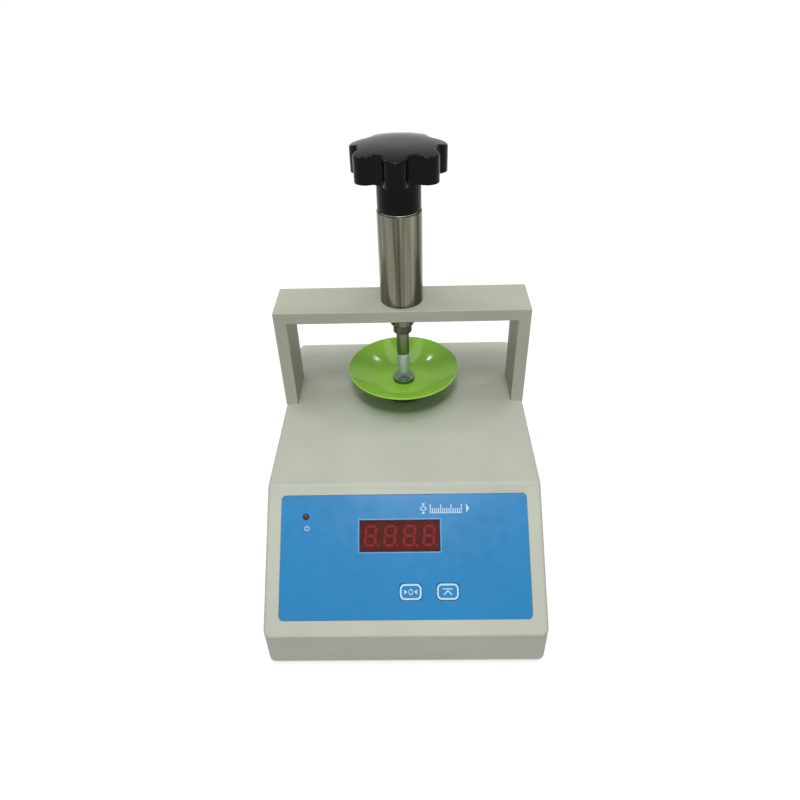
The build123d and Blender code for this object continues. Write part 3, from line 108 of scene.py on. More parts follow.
def mouldedFinish(slotName, colour, rough, gloss=0.5, grain=900, bump=0.15, depth=0.00004):
    # Moulded or painted surface: faint clouds in the colour, fine grain in the surface
    tree, surface = newFinish(slotName, colour, rough, gloss=gloss)
    clouds = addNoise(tree, 22, detail=4)
    mixColours(tree, surface, clouds, shade(colour, 0.965), shade(colour, 1.03))
    varyRough(tree, surface, addNoise(tree, 160), rough - 0.04, rough + 0.05)
    addBump(tree, surface, addNoise(tree, grain, detail=2), bump, depth)
    return surface


def metalFinish(slotName, colour, rough, stretch, streak=600, contrast=0.08, bump=0.12, depth=0.00001):
    # Metal with tool marks drawn out along one or two directions; where the contrast is strong, the streaks
    # are painted reflection bands
    tree, surface = newFinish(slotName, colour, rough, metal=1.0)
    toolMarksAndReflectionBands = addNoise(tree, streak, stretch, detail=4, rough=0.6)
    mixColours(tree, surface, toolMarksAndReflectionBands, shade(colour, 1 - contrast), shade(colour, 1 + contrast))
    varyRough(tree, surface, addNoise(tree, streak * 0.6, stretch), rough - 0.05, rough + 0.07)
    addBump(tree, surface, toolMarksAndReflectionBands, bump, depth)


print("materials")
roundTheAxis = (0.05, 0.05, 1.0)  # lathe marks circle a vertical spindle
reflectionBandsUpTheAxis = (1.0, 1.0, 0.02)  # painted reflection bands run up and down it
everyWay = (1.0, 1.0, 1.0)

mouldedFinish("case_plastic", (0.46, 0.485, 0.41), 0.46, gloss=0.22, grain=1500, bump=0.25, depth=0.00006)
mouldedFinish("frame_paint", (0.45, 0.465, 0.375), 0.5, gloss=0.08, grain=420, bump=0.10, depth=0.00008)
mouldedFinish("plate_paint", (0.055, 0.058, 0.06), 0.55, grain=1100, bump=0.35, depth=0.00008)
mouldedFinish("knob_black", (0.0022, 0.0025, 0.0031), 0.09, gloss=0.1, grain=260, bump=0.05)
mouldedFinish("dish_green", (0.29, 0.59, 0.045), 0.1, gloss=0.22, grain=120, bump=0.02)
mouldedFinish("seat_black", (0.012, 0.012, 0.013), 0.42, grain=1200, bump=0.2)
mouldedFinish("foot_rubber", (0.018, 0.018, 0.018), 0.75, gloss=0.3, grain=1400, bump=0.4)
mouldedFinish("film_blue", (0.014, 0.20, 0.45), 0.22, gloss=0.3, grain=90, bump=0.05, depth=0.0002)
mouldedFinish("display_black", (0.05, 0.008, 0.008), 0.6, gloss=0.2, grain=1500)
mouldedFinish("display_bars", (0.95, 0.07, 0.075), 0.45, gloss=0.2, grain=1500, bump=0.05)
mouldedFinish("board_green", (0.012, 0.075, 0.028), 0.35, grain=700, bump=0.12)
mouldedFinish("component_black", (0.014, 0.014, 0.015), 0.48, grain=1400)
mouldedFinish("coil_wrap", (0.60, 0.42, 0.06), 0.4, grain=500)
mouldedFinish("fitting_black", (0.012, 0.012, 0.013), 0.38, gloss=0.45, grain=1300, bump=0.2)
mouldedFinish("lamp_red", (0.085, 0.012, 0.016), 0.25, gloss=0.25, grain=400, bump=0.03)
mouldedFinish("print_white", (0.44, 0.60, 0.72), 0.3, grain=600, bump=0.05)
mouldedFinish("print_pale", (0.10, 0.34, 0.60), 0.25, grain=600, bump=0.05)

# Dark base colour and strong light and dark bands up the axis are painted reflection, standing in for dark
# surroundings seen in the steel
metalFinish("polished_steel", (0.17, 0.165, 0.12), 0.24, reflectionBandsUpTheAxis, streak=190, contrast=0.62, bump=0.05)
metalFinish("bright_steel", (0.26, 0.33, 0.30), 0.24, roundTheAxis, streak=2400, contrast=0.10)
# A darker copy of the bright steel: painted shade of the press head falling over the anvil
metalFinish("anvil_shaded_steel", (0.15, 0.20, 0.16), 0.34, roundTheAxis, streak=2400, contrast=0.10)
metalFinish("head_steel", (0.50, 0.55, 0.62), 0.55, roundTheAxis, streak=2400, contrast=0.06)
# Its bands up the axis are painted reflection, as on the sleeve's steel
metalFinish("rod_steel", (0.27, 0.30, 0.22), 0.26, reflectionBandsUpTheAxis, streak=190, contrast=0.35)
metalFinish("zinc_steel", (0.52, 0.53, 0.54), 0.28, everyWay, streak=700)
metalFinish("load_aluminium", (0.62, 0.63, 0.64), 0.36, (1.0, 0.04, 1.0), streak=1500)
metalFinish("bronze", (0.48, 0.29, 0.11), 0.4, roundTheAxis, streak=1800)
metalFinish("pin_brass", (0.60, 0.55, 0.38), 0.25, (1.0, 0.05, 1.0), streak=1500)
metalFinish("laminated_steel", (0.14, 0.145, 0.155), 0.45, (1.0, 0.02, 0.02), streak=2000, contrast=0.35)

redSheet = mouldedFinish("filter_red", (0.15, 0.027, 0.024), 0.14, gloss=0.08, grain=300, bump=0.03)
redSheet.inputs["Alpha"].default_value = 0.40  # each of the sheet's two faces
glass = mouldedFinish("fuse_glass", (0.80, 0.86, 0.84), 0.08, grain=300, bump=0.02)
glass.inputs["Transmission Weight"].default_value = 0.9


# Helpers that shape a mesh

def nodeBox(node):
    low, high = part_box(node)
    return low / mm, high / mm


def vertsOf(result):
    return [item for item in result["geom"] if isinstance(item, bmesh.types.BMVert)]


def edgesOf(result):
    return [item for item in result["geom"] if isinstance(item, bmesh.types.BMEdge)]


def roundEdges(bm, edges, radius, steps=3):
    bmesh.ops.bevel(
        bm, geom=edges, offset=radius, offset_type="OFFSET", segments=steps, profile=0.5,
        affect="EDGES", clamp_overlap=True, material=-1,
    )


def sharpEdges(bm, angle=35):
    return [edge for edge in bm.edges if edge.is_manifold and edge.calc_face_angle() > radians(angle)]


def closeUp(bm):
    bmesh.ops.remove_doubles(bm, verts=bm.verts, dist=0.002)
    bmesh.ops.recalc_face_normals(bm, faces=bm.faces)


def spunShape(outline, closed=False, steps=96, soft=0.0, centre=None):
    # Points of radius and height, with a third value where the corner is rounded
    bm = bmesh.new()
    verts = [bm.verts.new((point[0], 0, point[1])) for point in outline]
    for start, end in zip(verts, verts[1:] + verts[:1] if closed else verts[1:]):
        bm.edges.new((start, end))
    for vert, point in zip(verts, outline):
        if len(point) > 2:
            bmesh.ops.bevel(
                bm, geom=[vert], offset=point[2], offset_type="OFFSET", segments=6, profile=0.5,
                affect="VERTICES", material=-1,
            )
    bmesh.ops.spin(
        bm, geom=bm.verts[:] + bm.edges[:], cent=(0, 0, 0), axis=(0, 0, 1), dvec=(0, 0, 0),
        angle=tau, steps=steps, use_merge=True, use_duplicate=False,
    )
    closeUp(bm)
    if soft:
        roundEdges(bm, sharpEdges(bm), soft, 2)
    if centre is not None:
        bmesh.ops.translate(bm, vec=centre, verts=bm.verts)
    return bm


def plate(width, height, corner=0.0, steps=8):
    bm = bmesh.new()
    bmesh.ops.create_grid(bm, x_segments=1, y_segments=1, size=0.5)
    bmesh.ops.scale(bm, vec=(width, height, 1), verts=bm.verts)
    if corner:
        bmesh.ops.bevel(
            bm, geom=bm.verts[:], offset=corner, offset_type="OFFSET", segments=steps, profile=0.5,
            affect="VERTICES", material=-1,
        )
    return bm


def thicken(bm, depth):
    grown = bmesh.ops.extrude_face_region(bm, geom=bm.faces[:])
    bmesh.ops.translate(bm, vec=(0, 0, depth), verts=vertsOf(grown))
    bmesh.ops.recalc_face_normals(bm, faces=bm.faces)


def rimEdges(bm, height):
    # Outer edges of the level face at that height
    return [
        edge for edge in bm.edges
        if all(abs(vert.co.z - height) < 0.001 for vert in edge.verts) and len(edge.link_faces) == 2
        and edge.calc_face_angle() > radians(35)
    ]


def mergedCopy(node, flat=0.4):
    bm = bmesh.new()
    bm.from_mesh(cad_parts[node].data)
    bmesh.ops.scale(bm, vec=(1 / mm, 1 / mm, 1 / mm), verts=bm.verts)
    bmesh.ops.remove_doubles(bm, verts=bm.verts, dist=0.0005)
    bmesh.ops.dissolve_limit(bm, angle_limit=radians(flat), verts=bm.verts, edges=bm.edges)
    return bm


def joinInto(bm, other):
    mesh = bpy.data.meshes.new("part")
    other.to_mesh(mesh)
    other.free()
    bm.from_mesh(mesh)
    bpy.data.meshes.remove(mesh)


def makePiece(bm, name, body, slotName, replaced=(), sharp=35, place=None, soft=0.0, finish=None):
    if place is not None:
        bmesh.ops.transform(bm, matrix=place, verts=bm.verts)
    bmesh.ops.scale(bm, vec=(mm, mm, mm), verts=bm.verts)
    mesh = bpy.data.meshes.new(name)
    bm.to_mesh(mesh)
    bm.free()
    mesh.shade_smooth()
    mesh.set_sharp_from_angle(angle=radians(sharp))
    mesh.materials.append(finishes[finish or slotName])
    piece = bpy.data.objects.new(name, mesh)
    bpy.context.scene.collection.objects.link(piece)
    if soft:
        edgeSoftener = piece.modifiers.new("edges", "BEVEL")
        edgeSoftener.width = soft * mm
        edgeSoftener.segments = 2
        edgeSoftener.limit_method = "ANGLE"
        edgeSoftener.angle_limit = radians(sharp)
    normals = piece.modifiers.new("normals", "WEIGHTED_NORMAL")
    normals.keep_sharp = True
    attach(piece, body)
    if replaced:
        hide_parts(*replaced)
    return piece


def dressNode(node, slotName):
    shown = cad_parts[node]
    shown.data.materials.clear()
    shown.data.materials.append(finishes[slotName])


# Places that several pieces share

caseLow, caseHigh = nodeBox("upper_case")
sleeveLow, sleeveHigh = nodeBox("spindle_sleeve")
spindle = Vector(((sleeveLow.x + sleeveHigh.x) / 2, (sleeveLow.y + sleeveHigh.y) / 2, 0))

slope = {"footHeight": 27.0, "run": 73.6}
slopeAngle = atan2(caseHigh.z - caseLow.z - slope["footHeight"], slope["run"])
slopeFoot = Vector((0, caseLow.y, caseLow.z + slope["footHeight"]))
slopePlace = Matrix.Translation(slopeFoot) @ Matrix.Rotation(slopeAngle, 4, "X")


def onSlope(x, up, out=0.0):
    return slopePlace @ Matrix.Translation((x, up, out))


def onRear(x, z, out=0.0):
    # Faces away from the case, with its own x to the case's left
    turned = Matrix.Rotation(pi, 4, "Z") @ Matrix.Rotation(pi / 2, 4, "X")
    return Matrix.Translation((x, caseHigh.y + out, z)) @ turned


# Case

print("case and portal frame")
makePiece(mergedCopy("upper_case"), "caseShell", "base", "case_plastic", ("upper_case",), sharp=30)
makePiece(mergedCopy("base_plate"), "basePlate", "base", "plate_paint", ("base_plate",), soft=0.2)

# Portal frame: a flat bar bent square, legs on the case top and tongues below it
portal = {"leg": 9.0, "edge": 0.8, "edgeSteps": 3, "tongueInset": 3.7, "tongue": (5.0, 31.0, 20.0)}
portalLow, portalHigh = nodeBox("gantry_frame")


def portalShape():
    left, right, top, foot = portalLow.x, portalHigh.x, portalHigh.z, caseHigh.z
    leg, under = portal["leg"], portalHigh.z - portal["leg"]
    corners = [
        (left, foot), (left, top), (right, top), (right, foot), (right - leg, foot),
        (right - leg, under), (left + leg, under), (left + leg, foot),
    ]
    bm = bmesh.new()
    bm.faces.new([bm.verts.new((x, portalLow.y, z)) for x, z in corners])
    grown = bmesh.ops.extrude_face_region(bm, geom=bm.faces[:])
    bmesh.ops.translate(bm, vec=(0, portalHigh.y - portalLow.y, 0), verts=vertsOf(grown))
    bmesh.ops.recalc_face_normals(bm, faces=bm.faces)
    shown = [edge for edge in bm.edges if any(vert.co.z > foot + 0.01 for vert in edge.verts)]
    roundEdges(bm, shown, portal["edge"], portal["edgeSteps"])
    wide, deep, drop = portal["tongue"]
    for side in (-1, 1):
        middle = side * (portalHigh.x - portal["tongueInset"] - wide / 2)
        place = Matrix.Translation((middle, spindle.y, foot - drop / 2))
        bmesh.ops.create_cube(bm, size=1, matrix=place @ Matrix.Diagonal((wide, deep, drop, 1)))
    return bm


makePiece(portalShape(), "portalFrame", "base", "frame_paint", ("gantry_frame",), sharp=40)

# Spindle sleeve with its nuts, washer and guide screw

print("spindle")
screwLow, screwHigh = nodeBox("guide_screw")
guideHeight = (screwLow.z + screwHigh.z) / 2
sleeveRadius = (sleeveHigh.x - sleeveLow.x) / 2
sleeve = {
    "spigot": 7.0, "bore": 4.85, "rim": 10.0, "edge": 0.5, "spigotEdge": 1.0,
    "hole": 2.0, "holeDepth": 3.0, "patch": 3.6, "rows": 8,
}


def pierceBack(bm, height, wallRadius, holeRadius, patch, depth):
    # Opens a round hole towards the back of a wall that was spun about the spindle
    skin = 0.4  # the wall's faces have their middles this near to its radius
    inPatch = [
        face for face in bm.faces
        if face.calc_center_median().y > spindle.y and abs(face.calc_center_median().x) < patch
        and abs(face.calc_center_median().z - height) < patch
        and abs((face.calc_center_median() - spindle).xy.length - wallRadius) < skin
    ]
    bmesh.ops.delete(bm, geom=inPatch, context="FACES")
    rim = [edge for edge in bm.edges if edge.is_boundary]
    backwards = Matrix.Rotation(pi / 2, 4, "X")
    ring = bmesh.ops.create_circle(
        bm, segments=len(rim), radius=holeRadius,
        matrix=Matrix.Translation((0, spindle.y, height)) @ backwards,
    )["verts"]
    for vert in ring:
        vert.co.y = spindle.y + sqrt(wallRadius ** 2 - vert.co.x ** 2)
    hole = [edge for edge in bm.edges if edge.is_wire]
    bmesh.ops.bridge_loops(bm, edges=rim + hole)
    grown = bmesh.ops.extrude_edge_only(bm, edges=hole)
    bmesh.ops.translate(bm, vec=(0, -depth, 0), verts=vertsOf(grown))
    bmesh.ops.edgeloop_fill(bm, edges=[edge for edge in bm.edges if edge.is_boundary])
    bmesh.ops.recalc_face_normals(bm, faces=bm.faces)


def sleeveShape():
    top, bottom, beam = sleeveHigh.z, sleeveLow.z, portalHigh.z
    patch, rows = sleeve["patch"], sleeve["rows"]
    wall = [(sleeveRadius, guideHeight - patch + 2 * patch * row / rows) for row in range(rows + 1)]
    outline = [
        (sleeve["bore"], bottom), (sleeve["spigot"], bottom, sleeve["spigotEdge"]),
        (sleeve["spigot"], beam), (sleeveRadius, beam, sleeve["edge"]), *wall,
        (sleeveRadius, top, sleeve["edge"]), (sleeve["rim"], top), (sleeve["rim"], top - sleeve["edge"]),
        (sleeve["bore"], top - sleeve["edge"]),
    ]
    bm = spunShape(outline, closed=True, centre=spindle)
    pierceBack(bm, guideHeight, sleeveRadius, sleeve["hole"], patch, sleeve["holeDepth"])
    return bm


# The sleeve's steel carries painted reflection bands and a darkened base colour
makePiece(sleeveShape(), "spindleSleeve", "base", "polished_steel", ("spindle_sleeve",), sharp=40)

headless = {"socketDepth": 1.5, "chamfer": 0.4, "steps": 24}


def setScrew(node, name, body, radius, socket, length):
    # Headless screw whose end shows in its hole: a rim, a chamfer and a six-sided socket
    low, high = nodeBox(node)
    steps, chamfer = headless["steps"], headless["chamfer"]
    bm = bmesh.new()
    rings = [
        (6, socket, -headless["socketDepth"]), (6, socket, 0.0), (steps, radius - chamfer, 0.0),
        (steps, radius, -chamfer), (steps, radius, -length),
    ]
    loops = []
    for sides, size, height in rings:
        loops.append(bmesh.ops.create_circle(bm, segments=sides, radius=size)["verts"])
        bmesh.ops.translate(bm, vec=(0, 0, height), verts=loops[-1])
    wires = [list({edge for vert in loop for edge in vert.link_edges}) for loop in loops]
    for inner, outer in zip(wires, wires[1:]):
        bmesh.ops.bridge_loops(bm, edges=inner + outer)
    for end in (wires[0], wires[-1]):
        bmesh.ops.edgeloop_fill(bm, edges=end)
    bmesh.ops.recalc_face_normals(bm, faces=bm.faces)
    outwards = Matrix.Rotation(-pi / 2, 4, "X")
    place = Matrix.Translation((0, high.y, (low.z + high.z) / 2)) @ outwards
    makePiece(bm, name, body, "zinc_steel", (node,), place=place)


setScrew("guide_screw", "guideScrew", "base", radius=1.95, socket=1.0, length=3.0)

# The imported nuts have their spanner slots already, and only their edges are softened
for node, name in (("sleeve_nut", "sleeveNut"), ("lock_nut", "lockNut")):
    makePiece(mergedCopy(node), name, "base", "polished_steel", (node,), soft=0.15)

washerLow, washerHigh = nodeBox("thrust_washer")
washer = {"bore": 5.1, "edge": 0.12}
washerRadius = (washerHigh.x - washerLow.x) / 2
washerOutline = [
    (washer["bore"], washerLow.z), (washerRadius, washerLow.z), (washerRadius, washerHigh.z),
    (washer["bore"], washerHigh.z),
]
makePiece(
    spunShape(washerOutline, closed=True, soft=washer["edge"], centre=spindle), "thrustWasher",
    "base", "bright_steel", ("thrust_washer",), finish="zinc_steel",
)

# Star knob

print("knob")
knobLow, knobHigh = nodeBox("knob")
knob = {
    "lobes": 7, "reach": 31.5, "lobe": 7.5, "valley": 25.0, "blend": 2.6, "phase": -93.0,
    "hubHeight": 22.7, "lobeHeight": 16.0, "hub": 14.5, "topEdge": 1.2, "fall": 2.8, "footEdge": 0.6,
    "pocket": 4.5, "pocketDepth": 9.0, "bore": 8.0, "boreDepth": 20.0,
    "screwHole": 2.5, "screwDepth": 3.0, "patch": 4.0, "rows": 8,
    "stepsPerLobe": 44, "edgeSteps": 4, "pocketSteps": 24, "hubSteps": 96,
    "rings": (0.97, 0.93, 0.88, 0.82, 0.76, 0.7, 0.6, 0.5, 0.4, 0.3, 0.2, 0.1),  # shares of the reach
}
screwLow, screwHigh = nodeBox("knob_set_screw")
knobScrewHeight = (screwLow.z + screwHigh.z) / 2


def starRadius(angle):
    # Outline of the lobes: lobe arc, blend arc, then the valley circle between two lobes
    pitch = tau / knob["lobes"]
    off = abs((angle - radians(knob["phase"]) + pitch / 2) % pitch - pitch / 2)
    out = knob["reach"] - knob["lobe"]  # distance of a lobe's centre
    blendOut = knob["valley"] + knob["blend"]
    blendOff = knob["lobe"] + knob["blend"]
    turn = acos((blendOut ** 2 + out ** 2 - blendOff ** 2) / (2 * blendOut * out))
    towards = Vector((blendOut * cos(turn) - out, blendOut * sin(turn))).normalized()
    touch = Vector((out + knob["lobe"] * towards.x, knob["lobe"] * towards.y))
    if off < atan2(touch.y, touch.x):
        return out * cos(off) + sqrt(knob["lobe"] ** 2 - (out * sin(off)) ** 2)
    if off < turn:
        gap = off - turn
        return blendOut * cos(gap) - sqrt(max(knob["blend"] ** 2 - (blendOut * sin(gap)) ** 2, 0))
    return knob["valley"]


def knobShape():
    base = knobLow.z + knob["hubHeight"]
    top = base + knob["lobeHeight"]
    count = knob["lobes"] * knob["stepsPerLobe"]
    bm = bmesh.new()
    star = bmesh.ops.create_circle(bm, segments=count, radius=1.0)["verts"]
    for vert in star:
        vert.co *= starRadius(atan2(vert.co.y, vert.co.x))
        vert.co.z = base
    foot = bm.edges[:]
    grown = bmesh.ops.extrude_edge_only(bm, edges=foot)
    bmesh.ops.translate(bm, vec=(0, 0, knob["lobeHeight"]), verts=vertsOf(grown))
    rim = edgesOf(grown)
    bmesh.ops.edgeloop_fill(bm, edges=rim)
    bmesh.ops.recalc_face_normals(bm, faces=bm.faces)
    roundEdges(bm, rim, knob["topEdge"], knob["edgeSteps"])
    # The cap becomes rings that draw in to the middle of the crown
    cap = max(bm.faces, key=lambda face: len(face.verts))
    level = cap.verts[0].co.z
    bmesh.ops.delete(bm, geom=[cap], context="FACES_ONLY")
    edges = [edge for edge in bm.edges if edge.is_boundary and edge.verts[0].co.z > level - 0.001]
    for share in knob["rings"]:
        # Rings keep the star's outline near the edge and turn round further in
        starlike = max(2 * share - 1, 0)
        grown = bmesh.ops.extrude_edge_only(bm, edges=edges)
        for vert in vertsOf(grown):
            reach = starRadius(atan2(vert.co.y, vert.co.x)) - knob["topEdge"]
            want = share * (reach * starlike + knob["valley"] * (1 - starlike))
            vert.co.xy = vert.co.xy.normalized() * want
        edges = edgesOf(grown)
    bmesh.ops.edgeloop_fill(bm, edges=edges)
    bmesh.ops.poke(bm, faces=[max(bm.faces, key=lambda face: len(face.verts))])
    # Crown: everything on the top falls away from the middle, faster towards the lobes
    crown = knobHigh.z - top
    for vert in bm.verts:
        if vert.co.z > top - knob["topEdge"] - 0.01:
            vert.co.z += crown * (1 - (vert.co.xy.length / knob["reach"]) ** knob["fall"])
    # Underside with a pocket below each lobe, and the hub with its bore
    loops = [edge for edge in bm.edges if edge.is_boundary]
    pockets = []
    for lobe in range(knob["lobes"]):
        angle = radians(knob["phase"]) + lobe * tau / knob["lobes"]
        out = knob["reach"] - knob["lobe"]
        place = Matrix.Translation((out * cos(angle), out * sin(angle), base))
        ring = bmesh.ops.create_circle(
            bm, segments=knob["pocketSteps"], radius=knob["pocket"], matrix=place
        )["verts"]
        pockets += list({edge for vert in ring for edge in vert.link_edges})
    hubRing = bmesh.ops.create_circle(
        bm, segments=knob["hubSteps"], radius=knob["hub"], matrix=Matrix.Translation((0, 0, base))
    )["verts"]
    hub = list({edge for vert in hubRing for edge in vert.link_edges})
    bmesh.ops.triangle_fill(
        bm, use_beauty=True, use_dissolve=False, edges=loops + pockets + hub, normal=(0, 0, -1)
    )
    inside = [
        face for face in bm.faces if abs(face.calc_center_median().z - base) < 0.01
        and face.calc_center_median().xy.length < knob["hub"] * 0.98
    ]
    bmesh.ops.delete(bm, geom=inside, context="FACES_ONLY")
    grown = bmesh.ops.extrude_edge_only(bm, edges=pockets)
    bmesh.ops.translate(bm, vec=(0, 0, knob["pocketDepth"]), verts=vertsOf(grown))
    bmesh.ops.edgeloop_fill(bm, edges=edgesOf(grown))
    # Hub wall in steps, so that the set screw's hole can be opened in it
    patch, rows = knob["patch"], knob["rows"]
    heights = [knobScrewHeight + patch - 2 * patch * row / rows for row in range(rows + 1)]
    edges = hub
    for height in heights + [knobLow.z]:
        grown = bmesh.ops.extrude_edge_only(bm, edges=edges)
        for vert in vertsOf(grown):
            vert.co.z = height
        edges = edgesOf(grown)
    hubFoot = edges
    for radius, height in ((knob["bore"], knobLow.z), (knob["bore"], knobLow.z + knob["boreDepth"])):
        grown = bmesh.ops.extrude_edge_only(bm, edges=edges)
        for vert in vertsOf(grown):
            vert.co.xy = vert.co.xy.normalized() * radius
            vert.co.z = height
        edges = edgesOf(grown)
    bmesh.ops.edgeloop_fill(bm, edges=edges)
    bmesh.ops.recalc_face_normals(bm, faces=bm.faces)
    roundEdges(bm, hubFoot, knob["footEdge"], 3)
    bmesh.ops.translate(bm, vec=spindle, verts=bm.verts)
    pierceBack(bm, knobScrewHeight, knob["hub"], knob["screwHole"], patch, knob["screwDepth"])
    return bm


makePiece(knobShape(), "starKnob", "spindle_knob", "knob_black", ("knob",), sharp=38)
setScrew("knob_set_screw", "knobSetScrew", "spindle_knob", radius=2.4, socket=1.3, length=4.0)

# Plunger rod, press head and anvil

print("plunger, anvil and dish")
rodTop = nodeBox("plunger")[1].z
headLow, headHigh = nodeBox("press_head")
anvilLow, anvilHigh = nodeBox("anvil")
dishLow, dishHigh = nodeBox("sample_dish")
press = {"rod": 4.75, "body": 7.5, "bodyFoot": 181.6, "edge": 0.4, "headEdge": 0.5}
headRadius = (headHigh.x - headLow.x) / 2
rodOutline = [
    (0, headHigh.z), (press["rod"], headHigh.z, press["edge"]), (press["rod"], press["bodyFoot"]),
    (press["body"], press["bodyFoot"], press["edge"]), (press["body"], rodTop), (0, rodTop),
]
headOutline = [
    (0, headLow.z), (headRadius, headLow.z, press["headEdge"]), (headRadius, headHigh.z, press["headEdge"]),
    (0, headHigh.z),
]
# The rod's finish carries painted reflection bands
makePiece(
    spunShape(rodOutline, centre=spindle), "plungerRod", "press_plunger", "polished_steel", ("plunger",),
    finish="rod_steel",
)
makePiece(
    spunShape(headOutline, centre=spindle), "pressHead", "press_plunger", "bright_steel", ("press_head",),
    finish="head_steel",
)

# Anvil: a low button with a shallow ring turned into its face
anvil = {"stem": 2.45, "edge": 0.4, "groove": (5.2, 5.8, 0.25), "thickness": 3.1}
anvilRadius = (anvilHigh.x - anvilLow.x) / 2
innerGroove, outerGroove, grooveDepth = anvil["groove"]
anvilOutline = [
    (0, anvilLow.z), (anvil["stem"], anvilLow.z), (anvil["stem"], anvilHigh.z - anvil["thickness"]),
    (anvilRadius, anvilHigh.z - anvil["thickness"]), (anvilRadius, anvilHigh.z, anvil["edge"]),
    (outerGroove, anvilHigh.z), ((innerGroove + outerGroove) / 2, anvilHigh.z - grooveDepth),
    (innerGroove, anvilHigh.z), (0, anvilHigh.z),
]
# The anvil's finish is darkened steel, painting the press head's shade on it
makePiece(
    spunShape(anvilOutline, centre=spindle), "anvilButton",
    "base", "bright_steel", ("anvil",), finish="anvil_shaded_steel",
)

# Dish: flat floor, wall that flares in one shallow arc, rolled lip
dish = {
    "floor": 19.5, "foot": 20.5, "thickness": 2.5, "hole": 2.8, "crease": 1.6,
    "outerBulge": 0.6, "innerBulge": 0.96, "arcSteps": 10, "steps": 128,
    "lip": ((0.0, 1.2, 0.5), (0.12, 0.25, 0.5), (0.992, 0.096, 0.4)),  # in from the rim, down, rounding
}


def bowedPoints(start, end, bulge, count):
    # Points of a shallow arc that bows to the right of the way from start to end
    start, end = Vector(start), Vector(end)
    along = end - start
    across = Vector((along.y, -along.x)).normalized()
    return [
        start + along * share + across * bulge * 4 * share * (1 - share)
        for share in (step / count for step in range(1, count))
    ]


def dishShape():
    radius = (dishHigh.x - dishLow.x) / 2
    foot, floor = dishLow.z, dishLow.z + dish["thickness"]
    lip = [(radius - inwards, dishHigh.z - down, edge) for inwards, down, edge in dish["lip"]]
    outside = bowedPoints((dish["foot"], foot), lip[0][:2], dish["outerBulge"], dish["arcSteps"])
    inside = bowedPoints(lip[-1][:2], (dish["floor"], floor), -dish["innerBulge"], dish["arcSteps"])
    outline = [
        (dish["hole"], foot), (dish["foot"], foot), *outside, *lip, *inside,
        (dish["floor"], floor, dish["crease"]), (dish["hole"], floor),
    ]
    return spunShape(outline, closed=True, steps=dish["steps"], centre=spindle)


makePiece(dishShape(), "sampleDish", "base", "dish_green", ("sample_dish",), sharp=50)

seatLow, seatHigh = nodeBox("dish_seat")
seat = {"edge": 0.6, "bore": 6.0}
seatRadius = (seatHigh.x - seatLow.x) / 2
seatOutline = [
    (seat["bore"], seatLow.z), (seatRadius, seatLow.z, seat["edge"]),
    (seatRadius, seatHigh.z, seat["edge"]), (seat["bore"], seatHigh.z),
]
makePiece(
    spunShape(seatOutline, closed=True, centre=spindle), "dishSeat", "base", "seat_black", ("dish_seat",)
)

# Front panel

print("front panel")
makePiece(mergedCopy("panel_overlay"), "panelFilm", "base", "film_blue", ("panel_overlay",))
panel = {
    "filmOut": -0.3, "print": 0.04, "windowX": -2.95, "windowUp": 61.85, "windowSize": (52.0, 19.9),
    "frameLine": 0.55, "frameGap": 0.4, "frameCorner": 0.6,
    "lampX": -64.2, "lampUp": 74.6, "lampRadius": 1.9,
    "keyX": {"zero": 3.7, "hold": 27.3}, "keyUp": 26.7, "keySize": (14.4, 10.4), "keyCorner": 3.2,
    "keyOut": -0.1, "keyDepth": 3.5, "keyLine": 1.15, "keyEdge": 0.2, "keyMargin": 0.25,
}


def barMark(bm, x, y, width, height):
    place = Matrix.Translation((x, y, 0)) @ Matrix.Diagonal((width, height, 1, 1))
    bmesh.ops.create_grid(bm, x_segments=1, y_segments=1, size=0.5, matrix=place)


def ringMark(bm, x, y, outer, line, start=0.0, sweep=tau, squeeze=1.0):
    # A ring, or a stretch of one, spun from a short line
    verts = [
        bm.verts.new((radius * cos(start), radius * sin(start), 0)) for radius in (outer - line, outer)
    ]
    edge = bm.edges.new(verts)
    before = set(bm.verts) - set(verts)
    bmesh.ops.spin(
        bm, geom=verts + [edge], cent=(0, 0, 0), axis=(0, 0, 1), dvec=(0, 0, 0), angle=sweep,
        steps=32, use_merge=sweep == tau, use_duplicate=False,
    )
    made = [vert for vert in bm.verts if vert not in before]
    bmesh.ops.scale(bm, vec=(squeeze, 1, 1), verts=made)
    bmesh.ops.translate(bm, vec=(x, y, 0), verts=made)


def cornersMark(bm, *corners):
    bm.faces.new([bm.verts.new((x, y, 0)) for x, y in corners])


def outlineMark(bm, width, height, corner, line):
    # Rounded frame: the plate's rim is kept and its middle taken out
    shape = plate(width, height, corner)
    bmesh.ops.inset_individual(shape, faces=shape.faces[:], thickness=line, use_even_offset=True)
    middle = max(shape.faces, key=lambda face: len(face.verts))
    bmesh.ops.delete(shape, geom=[middle], context="FACES_ONLY")
    joinInto(bm, shape)


def printMark(bm, name, body, place, finish="print_white"):
    bmesh.ops.recalc_face_normals(bm, faces=bm.faces)
    for face in bm.faces:
        if face.normal.z < 0:
            face.normal_flip()
    thicken(bm, panel["print"])
    makePiece(bm, name, body, "film_blue", place=place, finish=finish)


def windowFrameMark():
    bm = bmesh.new()
    wide, high = panel["windowSize"]
    grow = 2 * (panel["frameGap"] + panel["frameLine"])
    outlineMark(bm, wide + grow, high + grow, panel["frameCorner"], panel["frameLine"])
    return bm


windowPlace = onSlope(panel["windowX"], panel["windowUp"], panel["filmOut"])
printMark(windowFrameMark(), "windowLine", "base", windowPlace, "print_pale")

# Under the lamp: the plain sign for power, a broken ring with a bar in its gap
power = {
    "x": -63.4, "up": 67.1, "ring": 1.65, "line": 0.42, "start": radians(125), "sweep": radians(290),
    "bar": 1.9, "barUp": 1.15,
}
bm = bmesh.new()
ringMark(bm, 0, 0, power["ring"], power["line"], start=power["start"], sweep=power["sweep"])
barMark(bm, 0, power["barUp"], power["line"], power["bar"])
printMark(bm, "powerSign", "base", onSlope(power["x"], power["up"], panel["filmOut"]))

